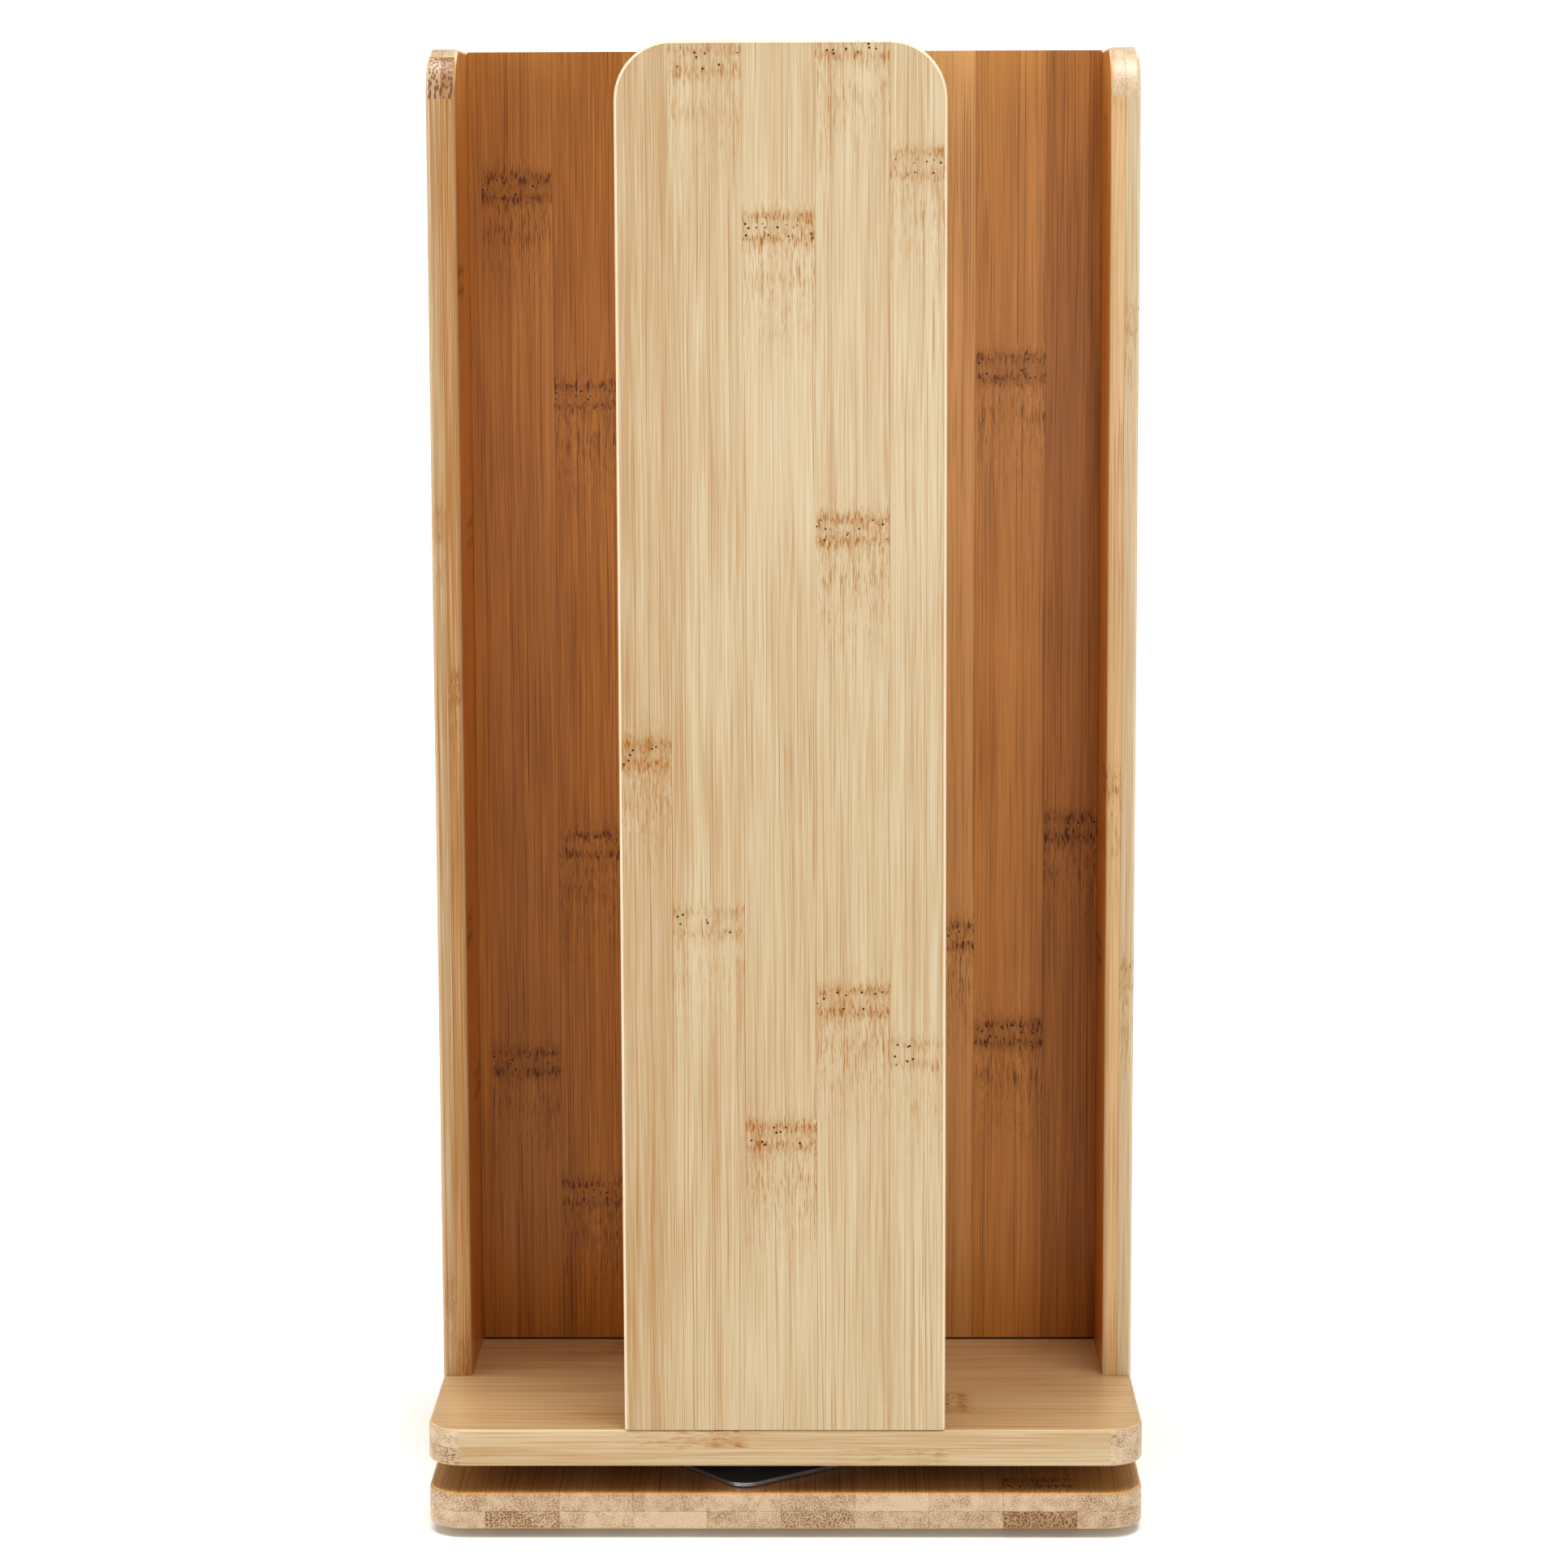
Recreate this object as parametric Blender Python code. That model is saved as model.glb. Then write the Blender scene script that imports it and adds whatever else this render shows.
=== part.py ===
"""Revolving holder with four upright bays, in laminated bamboo, on a square ball-bearing turntable.

A square base board stands on four pads and carries a pressed steel bearing. The bearing carries a square
turntable board, two dividers that cross in a half-lap, and four outer panels that close the dividers' ends.
Metres, +Z up, front at -Y, origin on the ground under the axis. Heights in the bearing are from the middle
of the gap between the two boards.
"""

import math

import bmesh
import bpy
from mathutils import Matrix, Vector

MM = 0.001

# Boards, dividers and panels
BOARD_SIDE = 190 * MM
BOARD_THICK = 10 * MM
BOARD_CORNER = 10 * MM  # radius of a board's upright corners
BOARD_EASE = 0.8 * MM  # rounding of a board's arrises
PANEL_THICK = 8 * MM  # outer panels and dividers
PANEL_WIDTH = 84.8 * MM
PANEL_HEIGHT = 362 * MM
PANEL_CORNER = 15 * MM  # radius of a panel's two upper corners
PANEL_EASE = 1.0 * MM
FIT = 0.3 * MM  # gap kept between pieces that touch

# Pads
PAD_HEIGHT = 2 * MM
PAD_RADIUS = 6 * MM
PAD_INSET = 17 * MM  # of a pad's middle from the board's edges

# Bearing
BEARING_SPACE = 7.2 * MM  # clear height between the two boards
BEARING_SIDE = 132 * MM
BEARING_CORNER = 6 * MM
LOWER_PLATE_TURN = math.radians(37.75)  # the lower plate sits across the base board
SHEET = 1.0 * MM  # steel sheet of both plates
DISH_RISE = 1.2 * MM  # how far the middle of a plate is pressed towards the other plate
DISH_RADIUS = 46 * MM
DISH_SLOPE = 2.5 * MM  # width of the slope round the pressed middle
BORE_RADIUS = 24 * MM
BALL_RADIUS = 1.8 * MM
BALL_PITCH_RADIUS = 38 * MM
BALL_COUNT = 12
BALL_PLAY = 0.15 * MM  # running gap between a ball and its groove
POCKET_PLAY = 0.25 * MM
CAGE_THICK = 1.0 * MM
CAGE_HALF_WIDTH = 3.5 * MM
LOCK_WALL = 0.8 * MM
LOCK_WALL_RADIUS = 23.3 * MM  # outside of the lock ring's wall, which passes through both bores
LOCK_LIP_RADIUS = 27.5 * MM
LOCK_LIP_THICK = 0.75 * MM
LOCK_LIP_GAP = 0.35 * MM  # between a lip and the board beside it
TURN_STEPS = 48

# Fasteners
PLATE_SCREW_OFFSET = 51 * MM  # of a plate's screw holes from its middle, both ways
PLATE_SCREW = {"radius": 1.5 * MM, "length": 7.5 * MM, "head_radius": 3.1 * MM, "head_height": 1.8 * MM}
UPRIGHT_SCREW = {"radius": 1.4 * MM, "length": 29 * MM, "head_radius": 2.8 * MM, "head_height": 1.8 * MM}
UPRIGHT_SCREW_SINK = 0.1 * MM  # how far its head lies below the board's face
PAN_TOP = 0.7  # radius of a pan head's flat top, as a share of the head's
PAN_SHOULDER = 0.4  # height of its shoulder, as a share of the head's
COUNTERSUNK_LAND = 0.1  # height of a countersunk head's rim, as a share of the head's
POINT_LENGTH = 2.5  # of a screw's point, in shank radii
SCREW_STEPS = 12
PANEL_SCREW_OFFSET = 28 * MM  # from the middle of the panel
DIVIDER_SCREW_OFFSET = 62 * MM  # from the axis
ACCESS_HOLE_RADIUS = 5.5 * MM  # in the base board, for driving the upper plate's screws
DOWEL_RADIUS = 2 * MM
DOWEL_LENGTH = 16 * MM
DOWEL_IN_PANEL = 5 * MM
DOWEL_HEIGHTS = (90 * MM, 272 * MM)  # above the uprights' lower ends

# Heights above the ground
BASE_Z = PAD_HEIGHT + FIT
GAP_Z = BASE_Z + BOARD_THICK
TURNTABLE_Z = GAP_Z + BEARING_SPACE
UPRIGHT_Z = TURNTABLE_Z + BOARD_THICK + FIT
TOP_Z = UPRIGHT_Z + PANEL_HEIGHT
BEARING_MIDDLE = Vector((0, 0, GAP_Z + BEARING_SPACE / 2))

SIDES = {"front": -90, "right": 0, "rear": 90, "left": 180}  # the way each side faces, in degrees
CORNERS = {"front_left": (-1, -1), "front_right": (1, -1), "rear_left": (-1, 1), "rear_right": (1, 1)}
UP = Vector((0, 0, 1))


# Tools of the bench

def clear_scene():
    for obj in list(bpy.data.objects):
        bpy.data.objects.remove(obj, do_unlink=True)


def make_material(name, colour, roughness, metallic=0.0):
    material = bpy.data.materials.new(name)
    material.use_nodes = True
    shader = material.node_tree.nodes["Principled BSDF"]
    shader.inputs["Base Color"].default_value = (*colour, 1)
    shader.inputs["Roughness"].default_value = roughness
    shader.inputs["Metallic"].default_value = metallic
    return material


def make_axis(name):
    """An empty on the upright axis, for the pieces that turn together."""
    axis = bpy.data.objects.new(name, None)
    bpy.context.scene.collection.objects.link(axis)
    return axis


def add_object(name, bm, material, parent=None, location=(0, 0, 0), turn=0.0):
    """Links a finished bmesh as a named object with its material."""
    bmesh.ops.recalc_face_normals(bm, faces=bm.faces)
    mesh = bpy.data.meshes.new(name)
    bm.to_mesh(mesh)
    bm.free()
    mesh.shade_smooth()
    mesh.set_sharp_from_angle(angle=math.radians(35))
    mesh.materials.append(material)
    return place_object(name, mesh, parent, location, turn)


def place_object(name, mesh, parent, location, turn=0.0):
    obj = bpy.data.objects.new(name, mesh)
    obj.location = location
    obj.rotation_euler.z = turn
    obj.parent = parent
    bpy.context.scene.collection.objects.link(obj)
    return obj


def cut(obj, bm):
    """Takes the shape in bm, given in the world, out of obj."""
    bmesh.ops.recalc_face_normals(bm, faces=bm.faces)
    name = f"{obj.name}_cutter_{len(obj.modifiers)}"
    mesh = bpy.data.meshes.new(name)
    bm.to_mesh(mesh)
    bm.free()
    cutter = place_object(name, mesh, None, (0, 0, 0))
    cutter.hide_render = True
    cutter.display_type = "WIRE"
    modifier = obj.modifiers.new("cut", "BOOLEAN")
    modifier.operation = "DIFFERENCE"
    modifier.solver = "EXACT"
    modifier.object = cutter


def ease_arrises(obj, width):
    modifier = obj.modifiers.new("eased_arrises", "BEVEL")
    modifier.width = width
    modifier.segments = 2
    modifier.limit_method = "ANGLE"
    modifier.angle_limit = math.radians(60)


def round_edges(bm, edges, radius, segments):
    bmesh.ops.bevel(bm, geom=edges, offset=radius, segments=segments, profile=0.5, affect="EDGES")


def box_bmesh(low, high):
    bm = bmesh.new()
    low, high = Vector(low), Vector(high)
    place = Matrix.Translation((low + high) / 2) @ Matrix.Diagonal((*(high - low), 1))
    bmesh.ops.create_cube(bm, size=1.0, matrix=place)
    return bm


def spun_bmesh(profile, closed, steps=TURN_STEPS):
    """Turns (radius, height) points about +Z. An open profile starts and ends on the axis."""
    bm = bmesh.new()
    verts = [bm.verts.new((radius, 0, height)) for radius, height in profile]
    edges = [bm.edges.new(pair) for pair in zip(verts, verts[1:])]
    if closed:
        edges.append(bm.edges.new((verts[-1], verts[0])))
    bmesh.ops.spin(bm, geom=verts + edges, cent=(0, 0, 0), axis=UP, angle=2 * math.pi, steps=steps)
    bmesh.ops.remove_doubles(bm, verts=bm.verts, dist=0.001 * MM)
    return bm


def add_cylinder(bm, radius, low, high, origin=Vector(), axis=UP, end_radius=None, sides=12):
    """Adds a closed cylinder, or a cone that ends in end_radius, from low to high along axis from origin."""
    turn = UP.rotation_difference(axis).to_matrix().to_4x4()
    place = Matrix.Translation(origin + axis * (low + high) / 2) @ turn
    end_radius = radius if end_radius is None else end_radius
    bmesh.ops.create_cone(
        bm, cap_ends=True, segments=sides, radius1=radius, radius2=end_radius, depth=high - low, matrix=place,
    )


# Places that two or more pieces share

def side_direction(side):
    angle = math.radians(SIDES[side])
    return Vector((math.cos(angle), math.sin(angle), 0))


def plate_screw_places(turn):
    """The four screw places of a bearing plate that is turned about +Z."""
    diagonal = PLATE_SCREW_OFFSET * math.sqrt(2)
    angles = [turn + math.radians(45 + 90 * quarter) for quarter in range(4)]
    return [Vector((diagonal * math.cos(a), diagonal * math.sin(a), 0)) for a in angles]


def panel_screw_places(side):
    outward = side_direction(side)
    middle = outward * (BOARD_SIDE - PANEL_THICK) / 2
    sideways = UP.cross(outward) * PANEL_SCREW_OFFSET
    return [middle - sideways, middle + sideways]


def divider_screw_place(side):
    return side_direction(side) * DIVIDER_SCREW_OFFSET


def dowel_places(side):
    """Where a side's dowels cross from divider to panel."""
    face = side_direction(side) * (BOARD_SIDE / 2 - PANEL_THICK)
    return [face + UP * (UPRIGHT_Z + height) for height in DOWEL_HEIGHTS]


def add_dowel_holes(bm, side):
    inner_end = DOWEL_IN_PANEL - DOWEL_LENGTH - FIT
    for place in dowel_places(side):
        add_cylinder(bm, DOWEL_RADIUS + FIT, inner_end, DOWEL_IN_PANEL + FIT, place, side_direction(side))


def add_upright_pilots(bm, places):
    """Blind holes that rise into an upright's lower end."""
    head_z = TURNTABLE_Z + UPRIGHT_SCREW_SINK
    top = head_z + UPRIGHT_SCREW["head_height"] + UPRIGHT_SCREW["length"] + FIT
    for place in places:
        add_cylinder(bm, UPRIGHT_SCREW["radius"] + FIT, UPRIGHT_Z - MM, top, place)


# Base

def make_pads(rubber):
    reach = BOARD_SIDE / 2 - PAD_INSET
    for name, (x, y) in CORNERS.items():
        bm = bmesh.new()
        add_cylinder(bm, PAD_RADIUS, 0, PAD_HEIGHT, sides=24)
        add_object(f"{name}_pad", bm, rubber, location=(x * reach, y * reach, 0))


def board_bmesh(low_z):
    half = BOARD_SIDE / 2
    bm = box_bmesh((-half, -half, low_z), (half, half, low_z + BOARD_THICK))
    upright = [edge for edge in bm.edges if abs(edge.verts[0].co.z - edge.verts[1].co.z) > MM]
    round_edges(bm, upright, BOARD_CORNER, 8)
    return bm


def make_base_board(bamboo):
    board = add_object("base_board", board_bmesh(BASE_Z), bamboo)
    ease_arrises(board, BOARD_EASE)
    holes = bmesh.new()
    depth = PLATE_SCREW["length"] + FIT
    for place in plate_screw_places(LOWER_PLATE_TURN):
        add_cylinder(holes, PLATE_SCREW["radius"] + FIT, GAP_Z - depth, GAP_Z + MM, place)
    rear_left = plate_screw_places(0)[1]
    add_cylinder(holes, ACCESS_HOLE_RADIUS, BASE_Z - MM, GAP_Z + MM, rear_left, sides=24)
    cut(board, holes)


# Bearing

def groove_points(radius, floor, steps=4):
    """An arc about the balls' centre line, from its outer end inwards, that opens at the height floor."""
    half_angle = math.acos(-floor / radius)
    angles = [half_angle * (1 - 2 * step / steps) for step in range(steps + 1)]
    return [(BALL_PITCH_RADIUS + radius * math.sin(a), -radius * math.cos(a)) for a in angles]


def plate_profile():
    """Section of the lower plate's pressed middle: its upper side inwards, then its lower side back out."""
    flange_top = FIT + SHEET - BEARING_SPACE / 2
    dish_top = flange_top + DISH_RISE
    groove = BALL_RADIUS + BALL_PLAY
    upper = [(DISH_RADIUS + DISH_SLOPE, flange_top), (DISH_RADIUS, dish_top)]
    upper += groove_points(groove, dish_top)
    upper += [(BORE_RADIUS, dish_top)]
    shift = 0.4 * SHEET  # keeps the sloping wall as thick as the sheet
    lower = [(DISH_RADIUS + DISH_SLOPE - shift, flange_top - SHEET), (DISH_RADIUS - shift, dish_top - SHEET)]
    lower += groove_points(groove + SHEET, dish_top - SHEET)
    lower += [(BORE_RADIUS, dish_top - SHEET)]
    return upper + lower[::-1]


def circle_ring(radius, height):
    angles = [2 * math.pi * (step + 0.5) / TURN_STEPS for step in range(TURN_STEPS)]
    return [(radius * math.cos(a), radius * math.sin(a), height) for a in angles]


def square_ring(height):
    """Points round the plate's outline, all on its four corner arcs, as many as a circle has."""
    ring = []
    steps = TURN_STEPS // 4 - 1
    middle = BEARING_SIDE / 2 - BEARING_CORNER
    for quarter in range(4):
        turn = Matrix.Rotation(math.radians(90 * quarter), 3, "Z")
        for step in range(steps + 1):
            angle = math.radians(90 * step / steps)
            arc = BEARING_CORNER * Vector((math.cos(angle), math.sin(angle), 0))
            ring.append(turn @ (Vector((middle, middle, height)) + arc))
    return ring


def bearing_plate_bmesh():
    """The lower plate: a round middle pressed up in a square flange."""
    profile = plate_profile()
    rings = [circle_ring(radius, height) for radius, height in profile]
    rings += [square_ring(profile[-1][1]), square_ring(profile[0][1])]
    bm = bmesh.new()
    loops = [[bm.verts.new(point) for point in ring] for ring in rings]
    for loop, following in zip(loops, loops[1:] + loops[:1]):
        for i in range(TURN_STEPS):
            j = (i + 1) % TURN_STEPS
            bm.faces.new((loop[i], loop[j], following[j], following[i]))
    return bm


def make_bearing_plate(name, steel, turn, upside_down, parent):
    bm = bearing_plate_bmesh()
    if upside_down:
        bmesh.ops.transform(bm, matrix=Matrix.Rotation(math.pi, 4, "X"), verts=bm.verts)
    plate = add_object(name, bm, steel, parent, BEARING_MIDDLE, turn)
    holes = bmesh.new()
    for place in plate_screw_places(turn):
        add_cylinder(holes, PLATE_SCREW["radius"] + FIT, GAP_Z - MM, TURNTABLE_Z + MM, place)
    cut(plate, holes)


def make_ball_set(steel, nylon, parent):
    """Loose balls in the pockets of a flat ring, which goes round at half the turntable's speed."""
    inner, outer = BALL_PITCH_RADIUS - CAGE_HALF_WIDTH, BALL_PITCH_RADIUS + CAGE_HALF_WIDTH
    half = CAGE_THICK / 2
    ring = spun_bmesh([(inner, -half), (outer, -half), (outer, half), (inner, half)], closed=True)
    cage = add_object("ball_cage", ring, nylon, parent, BEARING_MIDDLE)
    ball = bmesh.new()
    bmesh.ops.create_uvsphere(ball, u_segments=12, v_segments=7, radius=BALL_RADIUS)
    first = add_object("bearing_ball_01", ball, steel, parent)
    pockets = bmesh.new()
    for number in range(BALL_COUNT):
        angle = 2 * math.pi * number / BALL_COUNT
        place = BEARING_MIDDLE + BALL_PITCH_RADIUS * Vector((math.cos(angle), math.sin(angle), 0))
        add_cylinder(pockets, BALL_RADIUS + POCKET_PLAY, -CAGE_THICK, CAGE_THICK, place)
        if number == 0:
            first.location = place
        else:
            place_object(f"bearing_ball_{number + 1:02d}", first.data, parent, place)
    cut(cage, pockets)


def make_lock_ring(steel, parent):
    """A flanged sleeve through both bores, which keeps the plates from lifting apart."""
    face = BEARING_SPACE / 2 - LOCK_LIP_GAP
    lip = face - LOCK_LIP_THICK
    inner = LOCK_WALL_RADIUS - LOCK_WALL
    lower_lip = [(inner, -face), (LOCK_LIP_RADIUS, -face), (LOCK_LIP_RADIUS, -lip), (LOCK_WALL_RADIUS, -lip)]
    upper_lip = [(LOCK_WALL_RADIUS, lip), (LOCK_LIP_RADIUS, lip), (LOCK_LIP_RADIUS, face), (inner, face)]
    ring = spun_bmesh(lower_lip + upper_lip, closed=True)
    add_object("bearing_lock_ring", ring, steel, parent, BEARING_MIDDLE)


# Screws

def pan_head_profile(screw):
    head, height = screw["head_radius"], screw["head_height"]
    shoulder = (head, PAN_SHOULDER * height)
    return [(0, 0), (PAN_TOP * head, 0), shoulder, (head, height), (screw["radius"], height)]


def countersunk_head_profile(screw):
    head, height = screw["head_radius"], screw["head_height"]
    return [(0, 0), (head, 0), (head, COUNTERSUNK_LAND * height), (screw["radius"], height)]


def screw_bmesh(screw, head_profile):
    """A wood screw that points up, with its head's outer face at the origin."""
    end = screw["head_height"] + screw["length"]
    point = POINT_LENGTH * screw["radius"]
    shank = [(screw["radius"], end - point), (0, end)]
    return spun_bmesh(head_profile + shank, closed=False, steps=SCREW_STEPS)


def make_plate_screws(steel, turntable):
    """Pan heads stand off each plate's flange by the fitting gap."""
    flange = FIT + SHEET + FIT + PLATE_SCREW["head_height"]
    for number, place in enumerate(plate_screw_places(LOWER_PLATE_TURN), 1):
        bm = screw_bmesh(PLATE_SCREW, pan_head_profile(PLATE_SCREW))
        bmesh.ops.transform(bm, matrix=Matrix.Rotation(math.pi, 4, "X"), verts=bm.verts)
        add_object(f"lower_plate_screw_{number}", bm, steel, location=place + UP * (GAP_Z + flange))
    for number, place in enumerate(plate_screw_places(0), 1):
        bm = screw_bmesh(PLATE_SCREW, pan_head_profile(PLATE_SCREW))
        add_object(f"upper_plate_screw_{number}", bm, steel, turntable, place + UP * (TURNTABLE_Z - flange))


def make_upright_screws(steel, turntable):
    head_z = UP * (TURNTABLE_Z + UPRIGHT_SCREW_SINK)
    for side in SIDES:
        places = {f"{side}_panel_screw_{n}": place for n, place in enumerate(panel_screw_places(side), 1)}
        places[f"{side}_divider_screw"] = divider_screw_place(side)
        for name, place in places.items():
            bm = screw_bmesh(UPRIGHT_SCREW, countersunk_head_profile(UPRIGHT_SCREW))
            add_object(name, bm, steel, turntable, place + head_z)


# Turntable

def make_turntable_board(bamboo, turntable):
    board = add_object("turntable_board", board_bmesh(TURNTABLE_Z), bamboo, turntable)
    ease_arrises(board, BOARD_EASE)
    blind = bmesh.new()
    for place in plate_screw_places(0):
        top = TURNTABLE_Z + PLATE_SCREW["length"] + FIT
        add_cylinder(blind, PLATE_SCREW["radius"] + FIT, TURNTABLE_Z - MM, top, place)
    cut(board, blind)
    through = bmesh.new()
    sinks = bmesh.new()
    shank = UPRIGHT_SCREW["radius"] + FIT
    head = UPRIGHT_SCREW["head_radius"] + FIT
    tip = shank - 0.1 * MM  # the cone ends inside the shank's hole
    depth = UPRIGHT_SCREW_SINK + UPRIGHT_SCREW["head_height"] + FIT
    mouth = head + (head - tip) * MM / depth  # the cone starts 1 mm below the board
    for side in SIDES:
        for place in [*panel_screw_places(side), divider_screw_place(side)]:
            add_cylinder(through, shank, TURNTABLE_Z - MM, UPRIGHT_Z + MM, place)
            add_cylinder(sinks, mouth, TURNTABLE_Z - MM, TURNTABLE_Z + depth, place, end_radius=tip)
    cut(board, through)
    cut(board, sinks)


def make_dividers(bamboo, turntable):
    """Two boards that cross on the axis, one slotted from below and the other from above."""
    half_length = BOARD_SIDE / 2 - PANEL_THICK - FIT
    half_thick = PANEL_THICK / 2
    half_slot = half_thick + FIT
    middle = (UPRIGHT_Z + TOP_Z) / 2
    dividers = {
        "divider_across": (("left", "right"), 0, UPRIGHT_Z - MM, middle + FIT),
        "divider_fore_and_aft": (("front", "rear"), 90, middle - FIT, TOP_Z + MM),
    }
    for name, (sides, turn, slot_low, slot_high) in dividers.items():
        bm = box_bmesh((-half_length, -half_thick, UPRIGHT_Z), (half_length, half_thick, TOP_Z))
        divider = add_object(name, bm, bamboo, turntable, turn=math.radians(turn))
        cut(divider, box_bmesh((-half_slot, -half_slot, slot_low), (half_slot, half_slot, slot_high)))
        holes = bmesh.new()
        add_upright_pilots(holes, [divider_screw_place(side) for side in sides])
        for side in sides:
            add_dowel_holes(holes, side)
        cut(divider, holes)


def make_panels(bamboo, turntable):
    """Each panel is built facing +X and turned to its side."""
    face, half_width = BOARD_SIDE / 2, PANEL_WIDTH / 2
    for side, angle in SIDES.items():
        bm = box_bmesh((face - PANEL_THICK, -half_width, UPRIGHT_Z), (face, half_width, TOP_Z))
        top_edges = [edge for edge in bm.edges if min(vert.co.z for vert in edge.verts) > TOP_Z - MM]
        corners = [edge for edge in top_edges if abs(edge.verts[0].co.x - edge.verts[1].co.x) > MM]
        round_edges(bm, corners, PANEL_CORNER, 10)
        panel = add_object(f"{side}_panel", bm, bamboo, turntable, turn=math.radians(angle))
        ease_arrises(panel, PANEL_EASE)
        holes = bmesh.new()
        add_upright_pilots(holes, panel_screw_places(side))
        add_dowel_holes(holes, side)
        cut(panel, holes)


def make_dowels(beech, turntable):
    inner_end = DOWEL_IN_PANEL - DOWEL_LENGTH
    for side in SIDES:
        for number, place in enumerate(dowel_places(side), 1):
            bm = bmesh.new()
            add_cylinder(bm, DOWEL_RADIUS, inner_end, DOWEL_IN_PANEL, axis=side_direction(side))
            add_object(f"{side}_dowel_{number}", bm, beech, turntable, place)


def main():
    clear_scene()
    light_bamboo = make_material("light_bamboo", (0.66, 0.47, 0.26), 0.45)
    bamboo = make_material("bamboo", (0.55, 0.34, 0.17), 0.5)
    zinc_steel = make_material("zinc_plated_steel", (0.6, 0.61, 0.63), 0.3, metallic=1.0)
    nylon = make_material("nylon", (0.8, 0.78, 0.72), 0.5)
    rubber = make_material("rubber", (0.05, 0.05, 0.05), 0.8)
    beech = make_material("beech", (0.6, 0.42, 0.27), 0.7)
    turntable = make_axis("turntable_axis")
    ball_set = make_axis("ball_set_axis")

    make_pads(rubber)
    make_base_board(bamboo)
    make_bearing_plate("lower_bearing_plate", zinc_steel, LOWER_PLATE_TURN, upside_down=False, parent=None)
    make_bearing_plate("upper_bearing_plate", zinc_steel, 0.0, upside_down=True, parent=turntable)
    make_ball_set(zinc_steel, nylon, ball_set)
    make_lock_ring(zinc_steel, turntable)
    make_plate_screws(zinc_steel, turntable)
    make_turntable_board(bamboo, turntable)
    make_upright_screws(zinc_steel, turntable)
    make_dividers(bamboo, turntable)
    make_panels(light_bamboo, turntable)
    make_dowels(beech, turntable)


main()
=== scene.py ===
"""Looks of a revolving bamboo holder with four upright bays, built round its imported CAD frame."""

import math
import random

import bmesh
import bpy
from mathutils import Matrix, Vector


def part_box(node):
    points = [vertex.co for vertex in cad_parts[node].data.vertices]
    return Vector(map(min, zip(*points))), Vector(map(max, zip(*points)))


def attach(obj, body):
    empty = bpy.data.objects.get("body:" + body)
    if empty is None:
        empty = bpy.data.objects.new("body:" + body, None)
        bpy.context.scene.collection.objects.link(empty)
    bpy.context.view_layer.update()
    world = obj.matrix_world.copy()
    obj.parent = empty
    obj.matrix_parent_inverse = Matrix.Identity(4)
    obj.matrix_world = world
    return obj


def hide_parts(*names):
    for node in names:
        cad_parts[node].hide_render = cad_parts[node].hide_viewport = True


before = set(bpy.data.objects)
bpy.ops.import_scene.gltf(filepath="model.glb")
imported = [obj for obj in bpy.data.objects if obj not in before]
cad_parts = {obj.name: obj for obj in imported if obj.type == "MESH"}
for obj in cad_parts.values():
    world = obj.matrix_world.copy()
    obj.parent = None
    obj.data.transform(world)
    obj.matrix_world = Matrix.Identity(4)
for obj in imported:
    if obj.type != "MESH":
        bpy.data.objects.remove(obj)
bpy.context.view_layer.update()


# ---- Foot pads --------------------------------------------------------------------------------------
# Four die-cut discs of foamed rubber, 12 mm across and 2 mm thick, stuck under the corners of the base.
# Their lower edge is rounded by wear and their face is matt, with fine open pores.

MM = 0.001
UP = Vector((0, 0, 1))


def linear(colour):
    """An sRGB hex colour as linear red, green, blue and alpha."""
    parts = [int(colour[i:i + 2], 16) / 255 for i in (1, 3, 5)]
    return [p / 12.92 if p <= 0.04045 else ((p + 0.055) / 1.055) ** 2.4 for p in parts] + [1]


def put(tree, kind, inputs=None, **settings):
    """Adds a node with its settings, fills its inputs with values or links, and gives its first output."""
    made = tree.nodes.new(kind)
    for name, value in settings.items():
        setattr(made, name, value)
    for socket, value in (inputs or {}).items():
        if isinstance(value, bpy.types.NodeSocket):
            tree.links.new(value, made.inputs[socket])
        else:
            made.inputs[socket].default_value = value
    return next((output for output in made.outputs if output.enabled), made)


def new_material(name):
    material = bpy.data.materials.new(name)
    material.use_nodes = True
    material.node_tree.nodes.clear()
    return material, material.node_tree


def finish_piece(bm, name, material=None):
    """Makes an object of a bmesh, smooth between its sharp edges."""
    mesh = bpy.data.meshes.new(name)
    bm.to_mesh(mesh)
    bm.free()
    mesh.shade_smooth()
    mesh.set_sharp_from_angle(angle=math.radians(40))
    if material:
        mesh.materials.append(material)
    piece = bpy.data.objects.new(name, mesh)
    bpy.context.scene.collection.objects.link(piece)
    return piece


def keep_result(piece):
    """Turns what a piece's modifiers make into its own mesh, and removes them."""
    bpy.context.view_layer.update()
    done = bpy.data.meshes.new_from_object(piece.evaluated_get(bpy.context.evaluated_depsgraph_get()))
    piece.modifiers.clear()
    old = piece.data
    piece.data = done
    bpy.data.meshes.remove(old)


def turned(profile, steps=32):
    """A closed body turned round the Z axis from a profile of radius and height, from foot to top."""
    bm = bmesh.new()
    rounds = [(math.cos(math.tau * i / steps), math.sin(math.tau * i / steps)) for i in range(steps)]
    rings = []
    for radius, height in profile:
        spots = [(radius * x, radius * y, height) for x, y in rounds] if radius else [(0, 0, height)]
        ring = [bm.verts.new(spot) for spot in spots]
        rings.append(ring if radius else ring * steps)
    for lower, upper in zip(rings, rings[1:]):
        for i in range(steps):
            corners = dict.fromkeys((lower[i - 1], lower[i], upper[i], upper[i - 1]))
            bm.faces.new(list(corners))
    return bm


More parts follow.
